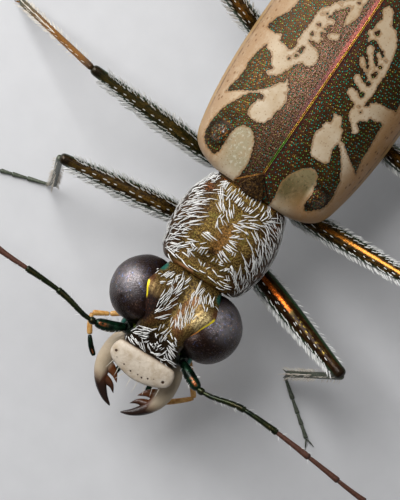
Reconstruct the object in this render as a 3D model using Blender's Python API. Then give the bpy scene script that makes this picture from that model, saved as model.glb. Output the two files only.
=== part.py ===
# A tiger beetle at life size, alive and standing on its six feet with its wing cases closed.
# Shapes are drawn in millimetres in the beetle's own frame: head towards -Y, its left side at +X,
# the floor at z = 0 and y = 0 at the tip of the scutellum. place() turns each into metres.
import math

import bmesh
import bpy
from mathutils import Matrix, Vector

MM = 0.001
GAP = 0.3                 # space kept between sub-parts that touch in life
WALL = 0.5                # wall of the wing cases, and the thinnest limb
LIMB = WALL / 2           # radius of the thinnest limb
UP = Vector((0, 0, 1))

# The head and the pronotum are turned a little to the beetle's left.
PRONOTUM_REAR = Vector((0.04, -0.73, 0))
PRONOTUM_YAW = 1.8
HEAD_CENTRE = Vector((0.15, -4.79, 0))
HEAD_YAW = 2.9

# Wing cases: (y, half width, crown height, height of the side margin).
ELYTRA = [
    (-0.60, 1.45, 4.52, 3.80),
    (-0.45, 1.92, 4.66, 3.58),
    (-0.20, 2.22, 4.82, 3.46),
    (0.40, 2.41, 5.02, 3.42),
    (1.30, 2.56, 5.20, 3.42),
    (2.40, 2.66, 5.32, 3.44),
    (3.40, 2.70, 5.38, 3.45),
    (4.60, 2.70, 5.38, 3.45),
    (5.80, 2.64, 5.29, 3.42),
    (6.80, 2.46, 5.10, 3.38),
    (7.60, 2.14, 4.84, 3.36),
    (8.20, 1.72, 4.54, 3.36),
    (8.65, 1.22, 4.20, 3.40),
    (8.95, 0.72, 3.92, 3.46),
    (9.10, 0.36, 3.76, 3.50),
]
ELYTRA_SQUARENESS = 2.5
CALLUS = Vector((1.74, 0.20, 0))      # the shoulder bump on each wing case
CALLUS_RISE = 0.12
CALLUS_SPREAD = 0.33

# Scutellum: the small triangle between the wing cases, and how far they stand back for it.
SCUTELLUM_BASE = -0.56
SCUTELLUM_HALF = 0.36
SCUTELLUM_TOP = 4.66
SCUTELLUM_THICK = 0.5
SCUTELLUM_NOTCH_END = 0.35

# Trunk: (y, half width, top, bottom, height of the widest line).
PTEROTHORAX = [
    (-0.58, 1.08, 3.62, 2.75, 3.08),
    (-0.35, 1.36, 3.74, 2.55, 3.10),
    (0.30, 1.62, 3.98, 2.42, 3.14),
    (1.30, 1.78, 4.20, 2.38, 3.14),
    (2.40, 1.88, 4.36, 2.38, 3.14),
    (3.08, 1.92, 4.40, 2.40, 3.14),
]
ABDOMEN = [
    (3.38, 1.91, 4.40, 2.42, 3.14),
    (4.40, 1.93, 4.44, 2.42, 3.14),
    (5.60, 1.90, 4.36, 2.46, 3.14),
    (6.60, 1.70, 4.16, 2.56, 3.14),
    (7.35, 1.38, 3.90, 2.70, 3.16),
    (7.95, 0.98, 3.62, 2.86, 3.20),
    (8.30, 0.55, 3.42, 3.02, 3.22),
]
STERNITE_STEP = 0.05
STERNITES = 6

# Pronotum with the prosternum below it, in its own frame with y = 0 at its rear edge.
PROTHORAX = [
    (-2.72, 1.28, 4.46, 2.92, 3.68),
    (-2.60, 1.38, 4.56, 2.80, 3.68),
    (-2.36, 1.45, 4.58, 2.72, 3.68),
    (-1.90, 1.56, 4.76, 2.66, 3.68),
    (-1.40, 1.60, 4.80, 2.64, 3.68),
    (-0.90, 1.58, 4.72, 2.64, 3.68),
    (-0.56, 1.49, 4.54, 2.68, 3.66),
    (-0.36, 1.42, 4.52, 2.74, 3.64),
    (-0.20, 1.28, 4.42, 2.86, 3.62),
]
GROOVES = (-2.36, -0.46)             # the two cross grooves of the pronotum
GROOVE_DEPTH = 0.10
GROOVE_WIDTH = 0.12

# Head capsule, in the head's frame with y = 0 between the eyes.
HEAD = [
    (1.02, 0.92, 4.34, 3.00, 3.66),
    (0.75, 1.00, 4.44, 2.84, 3.66),
    (0.35, 1.06, 4.52, 2.70, 3.68),
    (-0.15, 1.04, 4.52, 2.60, 3.68),
    (-0.60, 0.92, 4.42, 2.54, 3.64),
    (-0.95, 0.86, 4.24, 2.50, 3.54),
    (-1.20, 0.92, 4.06, 2.48, 3.40),
    (-1.32, 0.96, 3.96, 2.50, 3.36),
]
BROW = Vector((1.02, 0.32, 0))       # ridge over each eye
BROW_RISE = 0.10
BROW_SPREAD = 0.30
EYE_CENTRE = Vector((1.16, 0.07, 3.74))
EYE_RADII = (0.94, 0.97, 1.00)

# Labrum: (y, half width, top, thickness).
LABRUM = [
    (-1.62, 0.84, 4.00, 0.50),
    (-1.78, 0.95, 3.98, 0.50),
    (-2.02, 0.99, 3.92, 0.50),
    (-2.18, 0.78, 3.87, 0.50),
    (-2.28, 0.40, 3.83, 0.50),
    (-2.34, 0.12, 3.81, 0.50),
]

# Mandible of the left side: (x, y, z, half width, half height), closing slightly.
MANDIBLE = [
    (0.86, -1.62, 2.80, 0.27, 0.26),
    (1.00, -2.00, 2.78, 0.28, 0.26),
    (0.98, -2.45, 2.78, 0.26, 0.25),
    (0.78, -2.90, 2.78, 0.24, 0.22),
    (0.46, -3.24, 2.78, 0.16, 0.17),
    (0.20, -3.42, 2.78, 0.07, 0.09),
]
# Its teeth: (x, y) of the root, (x, y) of the point, radius at the root.
MANDIBLE_TEETH = [
    ((0.90, -2.30), (0.42, -2.42), 0.17),
    ((0.80, -2.66), (0.34, -2.80), 0.16),
    ((0.58, -3.00), (0.20, -3.06), 0.13),
]

# Palps of the left side in the head's frame: (x, y, z), then a radius at each point.
MAXILLARY_PALP = [
    (0.92, -0.62, 2.20), (1.30, -0.88, 1.96), (2.02, -1.36, 2.05),
    (1.88, -1.86, 2.06), (1.48, -2.36, 2.00), (1.22, -2.62, 1.96),
]
LABIAL_PALP = [
    (0.41, -1.22, 2.18), (0.45, -1.52, 1.92), (0.52, -2.02, 1.78), (0.56, -2.52, 1.66),
]

# Antennae in the head's frame: the scape, then points along the rest of the antenna.
ANTENNAE = {
    "left": {
        "scape": [(1.29, -1.34, 3.66), (1.54, -1.50, 3.84), (1.82, -1.60, 3.98)],
        "rest": [(2.26, -1.60, 4.10), (3.09, -1.42, 4.22), (4.23, -1.46, 4.32), (5.90, -1.64, 4.34),
                 (7.58, -1.84, 4.28), (9.40, -1.88, 4.12), (11.00, -1.66, 3.86)],
    },
    "right": {
        "scape": [(-1.28, -1.36, 3.66), (-1.54, -1.50, 3.84), (-1.82, -1.56, 3.98)],
        "rest": [(-2.26, -1.50, 4.10), (-3.02, -1.30, 4.22), (-3.92, -1.22, 4.32), (-5.32, -1.16, 4.36),
                 (-7.10, -0.92, 4.30), (-8.90, -0.38, 4.12), (-10.50, 0.42, 3.86)],
    },
}
ANTENNA_SEGMENTS = 10                # pedicel and nine more beyond the scape

# Legs: where the coxa starts under the body, where it meets the femur, knee, ankle and toe.
LEGS = {
    "fore_left": [
        (0.62, -1.98, 2.28), (1.06, -2.34, 2.02), (5.32, -3.59, 3.90), (4.03, -4.47, 0.85), (5.62, -5.78, 0),
    ],
    "fore_right": [
        (-0.58, -1.92, 2.28), (-1.02, -2.26, 2.02), (-5.21, -2.97, 4.02),
        (-5.02, -3.74, 0.85), (-7.02, -4.46, 0),
    ],
    "mid_left": [
        (0.66, -0.02, 2.04), (1.10, -0.36, 1.80), (5.95, -0.08, 4.35), (8.72, 1.04, 0.72), (11.10, 2.10, 0),
    ],
    "mid_right": [
        (-0.66, -0.02, 2.04), (-1.10, -0.40, 1.80), (-5.91, -0.27, 4.35),
        (-8.92, 0.24, 0.72), (-11.50, 0.86, 0),
    ],
    "hind_left": [
        (0.66, 2.62, 2.04), (1.20, 2.86, 1.70), (6.40, 2.30, 4.80), (8.50, 5.86, 0.72), (10.60, 9.46, 0),
    ],
    "hind_right": [
        (-0.66, 2.66, 2.04), (-1.18, 3.10, 1.70), (-6.30, 4.62, 4.80),
        (-8.26, 8.30, 0.72), (-10.00, 12.00, 0),
    ],
}
# Girth of a femur: (share of its length, half width, half height), and how much it bows upwards.
FEMUR = {
    "fore": [
        (0, 0.25, 0.25), (0.10, 0.29, 0.30), (0.28, 0.33, 0.35),
        (0.60, 0.29, 0.30), (0.88, 0.25, 0.25), (1, 0.26, 0.26),
    ],
    "mid": [
        (0, 0.25, 0.25), (0.08, 0.29, 0.30), (0.26, 0.34, 0.36),
        (0.60, 0.29, 0.30), (0.90, 0.25, 0.25), (1, 0.26, 0.26),
    ],
    "hind": [
        (0, 0.25, 0.25), (0.07, 0.29, 0.29), (0.26, 0.35, 0.36),
        (0.60, 0.30, 0.31), (0.92, 0.25, 0.25), (1, 0.26, 0.26),
    ],
}
FEMUR_BOW = 0.05
SOLE_AXIS = 0.22                     # height of a tarsus's middle, so that its sole is cut flat
TARSUS_SEGMENTS = 5
CLAW = 0.42
CLAW_SPREAD = 26

# Colours: (red, green, blue), roughness, metallic.
FINISHES = {
    "bronze_cuticle": ((0.16, 0.11, 0.045), 0.38, 0.65),
    "cream_elytra": ((0.60, 0.50, 0.34), 0.42, 0.0),
    "leg_cuticle": ((0.10, 0.085, 0.03), 0.30, 0.7),
    "tibia_cuticle": ((0.26, 0.12, 0.03), 0.35, 0.3),
    "eye": ((0.045, 0.040, 0.060), 0.22, 0.0),
    "ivory": ((0.66, 0.61, 0.50), 0.40, 0.0),
    "green_cuticle": ((0.02, 0.07, 0.05), 0.25, 0.7),
    "antenna_brown": ((0.12, 0.06, 0.045), 0.45, 0.0),
    "amber_palp": ((0.58, 0.34, 0.10), 0.35, 0.0),
}


def clear_scene():
    for old in list(bpy.data.objects):
        bpy.data.objects.remove(old)


def finish(name):
    colour, roughness, metallic = FINISHES[name]
    material = bpy.data.materials.get(name) or bpy.data.materials.new(name)
    material.use_nodes = True
    shader = material.node_tree.nodes["Principled BSDF"]
    shader.inputs["Base Color"].default_value = (*colour, 1)
    shader.inputs["Roughness"].default_value = roughness
    shader.inputs["Metallic"].default_value = metallic
    return material


# Values along a form, through rows (position, value, value ...), without overshooting a named size.
def along(rows, at):
    rows = sorted(rows)
    if at <= rows[0][0]:
        return rows[0][1:]
    if at >= rows[-1][0]:
        return rows[-1][1:]
    i = max(k for k in range(len(rows) - 1) if rows[k][0] <= at)

    def slope(k, column):
        if k == 0 or k == len(rows) - 1:
            a, b = (0, 1) if k == 0 else (k - 1, k)
            return (rows[b][column] - rows[a][column]) / (rows[b][0] - rows[a][0])
        before = (rows[k][column] - rows[k - 1][column]) / (rows[k][0] - rows[k - 1][0])
        after = (rows[k + 1][column] - rows[k][column]) / (rows[k + 1][0] - rows[k][0])
        return 0 if before * after <= 0 else 2 * before * after / (before + after)

    width = rows[i + 1][0] - rows[i][0]
    t = (at - rows[i][0]) / width
    values = []
    for column in range(1, len(rows[0])):
        values.append(
            (1 + 2 * t) * (1 - t) ** 2 * rows[i][column] + t * (1 - t) ** 2 * width * slope(i, column)
            + t * t * (3 - 2 * t) * rows[i + 1][column] + t * t * (t - 1) * width * slope(i + 1, column)
        )
    return tuple(values)


def stations(rows, steps):
    first, last = rows[0][0], rows[-1][0]
    return [first + (last - first) * k / steps for k in range(steps + 1)]


def bump(x, y, centre, spread):
    return math.exp(-((x - centre.x) ** 2 + (y - centre.y) ** 2) / spread ** 2)


# A smooth line through points, as (point, share of its length).
def smooth_line(points, steps):
    points = [Vector(p) for p in points]
    lengths = [0]
    for a, b in zip(points, points[1:]):
        lengths.append(lengths[-1] + (b - a).length)
    rows = [(s / lengths[-1], *p) for s, p in zip(lengths, points)]
    return [(Vector(along(rows, k / steps)), k / steps) for k in range(steps + 1)]


# A closed mesh through rings of points; a ring of one point closes an end to a tip.
def loft(rings):
    bm = bmesh.new()
    rows = [[bm.verts.new(p) for p in ring] for ring in rings]
    for low, high in zip(rows, rows[1:]):
        count = max(len(low), len(high))
        for k in range(count):
            corners = [low[k % len(low)], low[(k + 1) % len(low)]]
            corners += [high[(k + 1) % len(high)], high[k % len(high)]]
            bm.faces.new(list(dict.fromkeys(corners)))
    for row in (rows[0], rows[-1]):
        if len(row) > 1:
            bm.faces.new(row)
    bmesh.ops.recalc_face_normals(bm, faces=bm.faces)
    return bm


# Two more stations that round off the end of a limb.
def dome(point, tangent, wide, high, way):
    stretch = tangent * (wide + high) / 2 * way
    stations = []
    for turn in (0.5, 1.0):
        shrink = math.cos(turn)
        stations.append((point + stretch * math.sin(turn), tangent, wide * shrink, high * shrink))
    return stations


# A limb: stations (point, half width, half height) joined by rings, with flat or rounded ends.
def tube(path, sides=10, first=None, last=None, round_start=False, round_end=False, up=UP):
    points = [p for p, _, _ in path]
    tangents = []
    for k in range(len(points)):
        a, b = points[max(k - 1, 0)], points[min(k + 1, len(points) - 1)]
        tangents.append((b - a).normalized())
    tangents[0] = first or tangents[0]
    tangents[-1] = last or tangents[-1]
    frames = list(zip(points, tangents, [w for _, w, _ in path], [h for _, _, h in path]))
    if round_end:
        frames += dome(*frames[-1], 1)
    if round_start:
        frames = dome(*frames[0], -1)[::-1] + frames
    rings = []
    for p, t, w, h in frames:
        side = t.cross(up).normalized()
        top = side.cross(t).normalized()
        turns = [2 * math.pi * k / sides for k in range(sides)]
        rings.append([p + side * w * math.cos(a) + top * h * math.sin(a) for a in turns])
    if round_end:
        p, t, w, h = path[-1][0], tangents[-1], path[-1][1], path[-1][2]
        rings.append([p + t * (w + h) / 2])
    if round_start:
        p, t, w, h = path[0][0], tangents[0], path[0][1], path[0][2]
        rings.insert(0, [p - t * (w + h) / 2])
    return loft(rings)


# One cross ring of the trunk: a rounded box whose widest line lies at the height "waist".
def trunk_ring(y, half, top, bottom, waist, sides, squareness=2.2):
    power = 2 / squareness
    ring = []
    for k in range(sides):
        a = 2 * math.pi * (k + 0.5) / sides
        c, s = math.cos(a), math.sin(a)
        rise = top - waist if s > 0 else waist - bottom
        x = half * math.copysign(abs(c) ** power, c)
        z = waist + rise * math.copysign(abs(s) ** power, s)
        ring.append(Vector((x, y, z)))
    return ring


# Cuts off everything beyond a plane, to leave the flat seat that faces a neighbour or the floor.
def seat(bm, point, normal):
    whole = list(bm.verts) + list(bm.edges) + list(bm.faces)
    cut = bmesh.ops.bisect_plane(bm, geom=whole, plane_co=point, plane_no=normal, clear_outer=True, dist=1e-5)
    rim = [e for e in cut["geom_cut"] if isinstance(e, bmesh.types.BMEdge)]
    bmesh.ops.contextual_create(bm, geom=rim)
    bmesh.ops.recalc_face_normals(bm, faces=bm.faces)


def mirrored(bm):
    bmesh.ops.scale(bm, vec=(-1, 1, 1), verts=bm.verts)
    bmesh.ops.reverse_faces(bm, faces=bm.faces)
    return bm


def mesh_object(name, bm):
    mesh = bpy.data.meshes.new(name)
    bmesh.ops.triangulate(bm, faces=[f for f in bm.faces if len(f.verts) > 4])
    bm.to_mesh(mesh)
    bm.free()
    obj = bpy.data.objects.new(name, mesh)
    bpy.context.scene.collection.objects.link(obj)
    return obj


def keep_largest(bm):
    left, shells = set(bm.verts), []
    while left:
        shell, edge = set(), [left.pop()]
        while edge:
            vert = edge.pop()
            shell.add(vert)
            near = [e.other_vert(vert) for e in vert.link_edges]
            edge += [v for v in near if v in left]
            left.difference_update(near)
        shells.append(shell)
    for shell in sorted(shells, key=len)[:-1]:
        bmesh.ops.delete(bm, geom=list(shell), context="VERTS")


# Joins closed pieces into one, or cuts the others out of the first.
def boolean(pieces, operation):
    objects = [mesh_object(f"piece_{k}", bm) for k, bm in enumerate(pieces)]
    others = bpy.data.collections.new("pieces")
    for obj in objects[1:]:
        others.objects.link(obj)
    modifier = objects[0].modifiers.new("join", "BOOLEAN")
    modifier.operation = operation
    modifier.operand_type = "COLLECTION"
    modifier.collection = others
    modifier.solver = "EXACT"
    graph = bpy.context.evaluated_depsgraph_get()
    bm = bmesh.new()
    bm.from_mesh(objects[0].evaluated_get(graph).to_mesh())
    keep_largest(bm)
    bpy.data.collections.remove(others)
    for obj in objects:
        bpy.data.objects.remove(obj)
    return bm


def place(name, bm, material, holder, matrix=None):
    if matrix:
        bmesh.ops.transform(bm, matrix=matrix, verts=bm.verts)
    centre = sum((v.co for v in bm.verts), Vector()) / len(bm.verts)
    bmesh.ops.translate(bm, vec=-centre, verts=bm.verts)
    bmesh.ops.scale(bm, vec=(MM, MM, MM), verts=bm.verts)
    obj = mesh_object(name, bm)
    obj.data.materials.append(finish(material))
    obj.data.shade_smooth()
    obj.data.set_sharp_from_angle(angle=math.radians(38))
    obj.location = centre * MM
    obj.parent = holder
    return obj


def head_frame():
    return Matrix.Translation(HEAD_CENTRE) @ Matrix.Rotation(math.radians(HEAD_YAW), 4, "Z")


def pronotum_frame():
    return Matrix.Translation(PRONOTUM_REAR) @ Matrix.Rotation(math.radians(PRONOTUM_YAW), 4, "Z")


# Wing cases
def suture_edge(y):
    edge = GAP / 2
    if y < SCUTELLUM_NOTCH_END:
        share = (SCUTELLUM_NOTCH_END - y) / (SCUTELLUM_NOTCH_END - SCUTELLUM_BASE)
        edge += (SCUTELLUM_HALF + GAP * 0.6) * min(share, 1)
    return edge


def elytron_point(y, turn):
    half, crown, margin = along(ELYTRA, y)
    inner = min(suture_edge(y), half * 0.75)
    power = 2 / ELYTRA_SQUARENESS
    x = inner + (half - inner) * math.sin(turn) ** power
    z = margin + (crown - margin) * max(math.cos(turn), 0) ** power
    return Vector((x, y, z + CALLUS_RISE * bump(x, y, CALLUS, CALLUS_SPREAD)))


def elytron():
    across, lengthways = 11, 24
    first, last = ELYTRA[0][0], ELYTRA[-1][0]
    outer = []
    for k in range(lengthways + 1):
        y = first + (last - first) * (1 - math.cos(math.pi * k / lengthways)) / 2
        outer.append([elytron_point(y, math.pi / 2 * j / across) for j in range(across + 1)])
    core = Vector((1.0, 3.6, 3.3))
    inner = []
    for row in outer:
        inner_row = []
        for j, p in enumerate(row):
            half, crown, margin = along(ELYTRA, p.y)
            reach = max(half - WALL, 0.25) / half
            drop = max(crown - margin - WALL, 0.04) / (crown - margin)
            x = row[0].x + (p.x - row[0].x) * max((half - WALL - row[0].x) / (half - row[0].x), 0.12)
            z = margin + (p.z - margin) * drop
            y = p.y + max(0, 0.30 - reach) * (core.y - p.y) * 0.1
            inner_row.append(Vector((x, y, z)))
        inner.append(inner_row)
    bm = bmesh.new()
    skins = [[[bm.verts.new(p) for p in row] for row in skin] for skin in (outer, inner)]
    top, under = skins
    for rows in skins:
        for a, b in zip(rows, rows[1:]):
            for j in range(across):
                bm.faces.new((a[j], a[j + 1], b[j + 1], b[j]))
    for j in range(across):
        bm.faces.new((top[0][j], top[0][j + 1], under[0][j + 1], under[0][j]))
        bm.faces.new((top[-1][j], top[-1][j + 1], under[-1][j + 1], under[-1][j]))
    for k in range(lengthways):
        bm.faces.new((top[k][0], top[k + 1][0], under[k + 1][0], under[k][0]))
        bm.faces.new((top[k][across], top[k + 1][across], under[k + 1][across], under[k][across]))
    bmesh.ops.recalc_face_normals(bm, faces=bm.faces)
    return bm


def wing_cases(holder):
    place("elytron_left", elytron(), "cream_elytra", holder)
    place("elytron_right", mirrored(elytron()), "cream_elytra", holder)


def scutellum(holder):
    base, half = SCUTELLUM_BASE, SCUTELLUM_HALF
    outline = [(-half, base), (half, base), (0.06, -0.04), (-0.06, -0.04)]
    low, high = SCUTELLUM_TOP - SCUTELLUM_THICK, SCUTELLUM_TOP
    levels = ((low, 0.9), (high - 0.06, 1), (high, 0.85))
    rings = [[Vector((x * s, y, z)) for x, y in outline] for z, s in levels]
    place("scutellum", loft(rings), "bronze_cuticle", holder)


# Trunk
def pterothorax(holder):
    rings = [trunk_ring(y, *along(PTEROTHORAX, y), 20) for y in stations(PTEROTHORAX, 9)]
    place("pterothorax", loft(rings), "bronze_cuticle", holder)


def abdomen(holder):
    first, last = ABDOMEN[0][0], ABDOMEN[-1][0]
    rings = []
    for k in range(STERNITES):
        for share, step in ((0.02, 0), (0.98, STERNITE_STEP)):
            y = first + (last - first) * (k + share) / STERNITES
            half, top, bottom, waist = along(ABDOMEN, y)
            rings.append(trunk_ring(y, half - step, top - step, bottom + STERNITE_STEP - step, waist, 20))
    tip = Vector((0, last + 0.12, along(ABDOMEN, last)[3]))
    place("abdomen", loft(rings + [[tip]]), "bronze_cuticle", holder)


def prothorax(holder):
    rings = []
    for y in stations(PROTHORAX, 17):
        half, top, bottom, waist = along(PROTHORAX, y)
        dip = sum(math.exp(-((y - g) / GROOVE_WIDTH) ** 2) for g in GROOVES) * GROOVE_DEPTH
        ring = trunk_ring(y, half - dip * 0.5, top - dip, bottom, waist, 26)
        for p in ring:
            if p.z > waist:
                p.z -= 0.05 * math.exp(-(p.x / 0.12) ** 2)
        rings.append(ring)
    place("prothorax", loft(rings), "bronze_cuticle", holder, pronotum_frame())


# Head
def capsule(swell=0.0):
    rings = []
    for y in stations(HEAD, 13):
        half, top, bottom, waist = along(HEAD, y)
        ring = trunk_ring(y, half + swell, top + swell, bottom - swell, waist, 26)
        for p in ring:
            if p.z > waist:
                p.z += BROW_RISE * bump(abs(p.x), y, BROW, BROW_SPREAD)
            p.y *= 1 + swell
        rings.append(ring)
    return loft(rings)


def eye():
    bm = bmesh.new()
    bmesh.ops.create_uvsphere(bm, u_segments=22, v_segments=14, radius=1)
    bmesh.ops.rotate(bm, cent=(0, 0, 0), matrix=Matrix.Rotation(math.pi / 2, 3, "Y"), verts=bm.verts)
    bmesh.ops.scale(bm, vec=EYE_RADII, verts=bm.verts)
    bmesh.ops.translate(bm, vec=EYE_CENTRE, verts=bm.verts)
    return boolean([bm, capsule(GAP)], "DIFFERENCE")


def labrum():
    rings = []
    for y in stations(LABRUM, 9):
        half, top, thick = along(LABRUM, y)
        ring = []
        for k in range(9):
            share = 2 * k / 8 - 1
            ring.append(Vector((half * share, y, top - 0.07 * share ** 2)))
        ring += [Vector((p.x * 0.96, p.y, p.z - thick)) for p in reversed(ring)]
        rings.append(ring)
    return loft(rings)


def mandible():
    steps = 14
    line = smooth_line([row[:3] for row in MANDIBLE], steps)
    girth = [(k / (len(MANDIBLE) - 1), row[3], row[4]) for k, row in enumerate(MANDIBLE)]
    path = [(p, *along(girth, s)) for p, s in line]
    blade = tube(path, sides=10, first=Vector((0, -1, 0)))
    pieces = [blade]
    for root, point, radius in MANDIBLE_TEETH:
        height = MANDIBLE[2][2]
        a, b = Vector((*root, height)), Vector((*point, height))
        tooth = [(a, radius, radius), (a.lerp(b, 0.55), radius * 0.72, radius * 0.72), (b, 0.035, 0.035)]
        pieces.append(tube(tooth, sides=7))
    return boolean(pieces, "UNION")


def palp(points, radii, steps):
    line = smooth_line(points, steps)
    rows = [(k / (len(radii) - 1), r) for k, r in enumerate(radii)]
    path = [(p, *(along(rows, s) * 2)) for p, s in line]
    return tube(path, sides=9, first=Vector((0, 0, -1)), round_end=True, up=Vector((0.2, 0, 1)))


def scape(points):
    path = []
    for p, s in smooth_line(points, 6):
        girth = along([(0, 0.20), (0.35, 0.25), (0.75, 0.27), (1, 0.25)], s)[0]
        path.append((p, girth, girth))
    return tube(path, sides=10)


def antenna(points):
    per_segment = 3
    steps = ANTENNA_SEGMENTS * per_segment
    path = []
    for k, (p, s) in enumerate(smooth_line(points, steps)):
        taper = along([(0, 0.255), (0.7, 0.25), (0.92, 0.22), (1, 0.13)], s)[0]
        joint = 1.08 if k % per_segment == 0 and 0 < k < steps else 1
        path.append((p, taper * joint, taper * joint))
    return tube(path, sides=8, round_end=True)


def head(holder):
    frame = head_frame()
    place("head", capsule(), "bronze_cuticle", holder, frame)
    place("eye_left", eye(), "eye", holder, frame)
    place("eye_right", mirrored(eye()), "eye", holder, frame)
    place("labrum", labrum(), "ivory", holder, frame)
    place("mandible_left", mandible(), "ivory", holder, frame)
    place("mandible_right", mirrored(mandible()), "ivory", holder, frame)
    thick = (LIMB, LIMB, LIMB, LIMB, LIMB * 0.9, LIMB * 0.7)
    place("palp_maxillary_left", palp(MAXILLARY_PALP, thick, 14), "amber_palp", holder, frame)
    place("palp_maxillary_right", mirrored(palp(MAXILLARY_PALP, thick, 14)), "amber_palp", holder, frame)
    thick = (LIMB, LIMB, LIMB, LIMB * 0.7)
    place("palp_labial_left", palp(LABIAL_PALP, thick, 8), "amber_palp", holder, frame)
    place("palp_labial_right", mirrored(palp(LABIAL_PALP, thick, 8)), "amber_palp", holder, frame)
    for side, points in ANTENNAE.items():
        place(f"antenna_scape_{side}", scape(points["scape"]), "green_cuticle", holder, frame)
        place(f"antenna_{side}", antenna(points["rest"]), "antenna_brown", holder, frame)


# Legs
def coxa(hip, joint, swell=0.0):
    path = []
    for t, girth in ((0, 0.30), (0.5, 0.30), (1, 0.26)):
        path.append((hip.lerp(joint, t), girth + swell, girth + swell))
    return tube(path, sides=12, first=Vector((0, 0, -1)), round_end=True, up=Vector((0, 1, 0)))


def femur(start, knee, pair, swell=0.0):
    steps = 12
    path = []
    for k in range(steps + 1):
        s = k / steps
        p = start.lerp(knee, s) + UP * FEMUR_BOW * 4 * s * (1 - s)
        wide, high = along(FEMUR[pair], s)
        path.append((p, wide + swell, high + swell))
    direction = (knee - start).normalized()
    return tube(path, sides=12, first=direction, last=direction, round_end=True)


def tibia(start, knee, ankle, pair, shin):
    path = []
    for s in (0, 0.3, 0.55, 0.8, 0.94, 1):
        girth = along([(0, 0.25), (0.8, 0.25), (1, 0.27)], s)[0]
        path.append((knee.lerp(ankle, s), girth, girth))
    whole = tube(path, sides=10, first=shin, last=shin, up=Vector((0, 1, 0.3)))
    return boolean([whole, femur(start, knee, pair, GAP)], "DIFFERENCE")


def tarsus(ankle, shin, toe):
    start = ankle + shin * GAP
    corner = start + shin * ((start.z - SOLE_AXIS) / -shin.z)
    toe = Vector((toe.x, toe.y, SOLE_AXIS))
    onwards = (toe - corner).normalized()
    path = []
    for k in range(TARSUS_SEGMENTS):
        for share, girth in ((0.0, 0.235), (0.8, 0.26)):
            p = corner.lerp(toe, (k + share) / TARSUS_SEGMENTS)
            path.append((p, girth, girth))
    sole = tube(path, sides=10, first=onwards, last=onwards, round_start=True, round_end=True)
    instep = [(start, LIMB, LIMB), (start.lerp(corner, 0.5), LIMB, LIMB), (corner, LIMB * 0.9, LIMB * 0.9)]
    pieces = [sole, tube(instep, sides=10, first=shin, last=shin, round_end=True, up=Vector((0.3, 1, 0)))]
    for turn in (-CLAW_SPREAD, CLAW_SPREAD):
        way = Matrix.Rotation(math.radians(turn), 3, "Z") @ onwards
        root = path[-1][0] + onwards * 0.05 + UP * 0.03
        points = [root, root + way * CLAW * 0.6 + UP * 0.04, root + way * CLAW - UP * 0.06]
        claw = [(p, r, r) for p, r in zip(points, (0.13, 0.09, 0.03))]
        pieces.append(tube(claw, sides=7, first=way))
    bm = boolean(pieces, "UNION")
    seat(bm, Vector((0, 0, 0)), -UP)
    return bm


def leg(name, points, holder):
    pair = name.split("_")[0]
    hip, joint, knee, ankle, toe = [Vector(p) for p in points]
    shin = (ankle - knee).normalized()
    place(f"coxa_{name}", coxa(hip, joint), "bronze_cuticle", holder)
    socket = coxa(hip, joint, GAP)
    place(f"femur_{name}", boolean([femur(joint, knee, pair), socket], "DIFFERENCE"), "leg_cuticle", holder)
    place(f"tibia_{name}", tibia(joint, knee, ankle, pair, shin), "tibia_cuticle", holder)
    place(f"tarsus_{name}", tarsus(ankle, shin, toe), "leg_cuticle", holder)


# The origin is moved to the floor below the middle of the whole beetle.
def stand_on_origin(holder):
    bpy.context.view_layer.update()
    corners = [obj.matrix_world @ Vector(c) for obj in holder.children for c in obj.bound_box]
    low = Vector(min(c[k] for c in corners) for k in range(3))
    high = Vector(max(c[k] for c in corners) for k in range(3))
    holder.location = (-(low.x + high.x) / 2, -(low.y + high.y) / 2, -low.z)


def main():
    clear_scene()
    beetle = bpy.data.objects.new("beetle", None)
    bpy.context.scene.collection.objects.link(beetle)
    pterothorax(beetle)
    abdomen(beetle)
    scutellum(beetle)
    wing_cases(beetle)
    prothorax(beetle)
    head(beetle)
    for name, points in LEGS.items():
        leg(name, points, beetle)
    stand_on_origin(beetle)


main()
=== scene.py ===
import math

import bmesh
import bpy
import numpy as np
from mathutils import Matrix, Vector
from mathutils.bvhtree import BVHTree


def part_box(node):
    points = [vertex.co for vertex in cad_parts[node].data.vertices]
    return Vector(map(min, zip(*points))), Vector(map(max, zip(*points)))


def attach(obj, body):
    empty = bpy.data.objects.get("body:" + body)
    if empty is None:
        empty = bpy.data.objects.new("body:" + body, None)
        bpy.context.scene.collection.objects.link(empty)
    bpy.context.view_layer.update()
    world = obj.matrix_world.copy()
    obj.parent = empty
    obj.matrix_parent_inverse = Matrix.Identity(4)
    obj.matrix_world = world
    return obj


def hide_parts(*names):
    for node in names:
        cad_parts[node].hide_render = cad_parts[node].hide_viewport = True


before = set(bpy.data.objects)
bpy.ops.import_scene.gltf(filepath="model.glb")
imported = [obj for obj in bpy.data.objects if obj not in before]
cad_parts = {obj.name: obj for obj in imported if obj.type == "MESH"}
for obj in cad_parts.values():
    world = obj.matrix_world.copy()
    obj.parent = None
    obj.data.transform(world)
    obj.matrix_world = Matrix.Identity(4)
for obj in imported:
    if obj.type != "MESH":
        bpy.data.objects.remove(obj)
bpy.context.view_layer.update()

# A tiger beetle, looked down on. Everything is modelled in millimetres in the beetle's own frame:
# head towards -Y, its left side at +X, floor at z 0, and y 0 at the tip of the scutellum.
# settlePiece() then brings each piece to its place on the frame, in metres.
millimetre = 0.001
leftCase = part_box("elytron_left")
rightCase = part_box("elytron_right")
caseFront = -0.6  # where the wing cases begin, in the beetle's frame
middleX = (leftCase[0].x + rightCase[1].x) / 2
standing = Vector((middleX, leftCase[0].y - caseFront * millimetre, 0))  # beetle's origin in the frame

headTurn = {"centre": (0.15, -4.79), "yaw": 2.9}  # the head is turned a little to its left
pronotumTurn = {"centre": (0.04, -0.73), "yaw": 1.8}


def turned(place):
    x, y = place["centre"]
    return Matrix.Translation((x, y, 0)) @ Matrix.Rotation(math.radians(place["yaw"]), 4, "Z")


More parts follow.
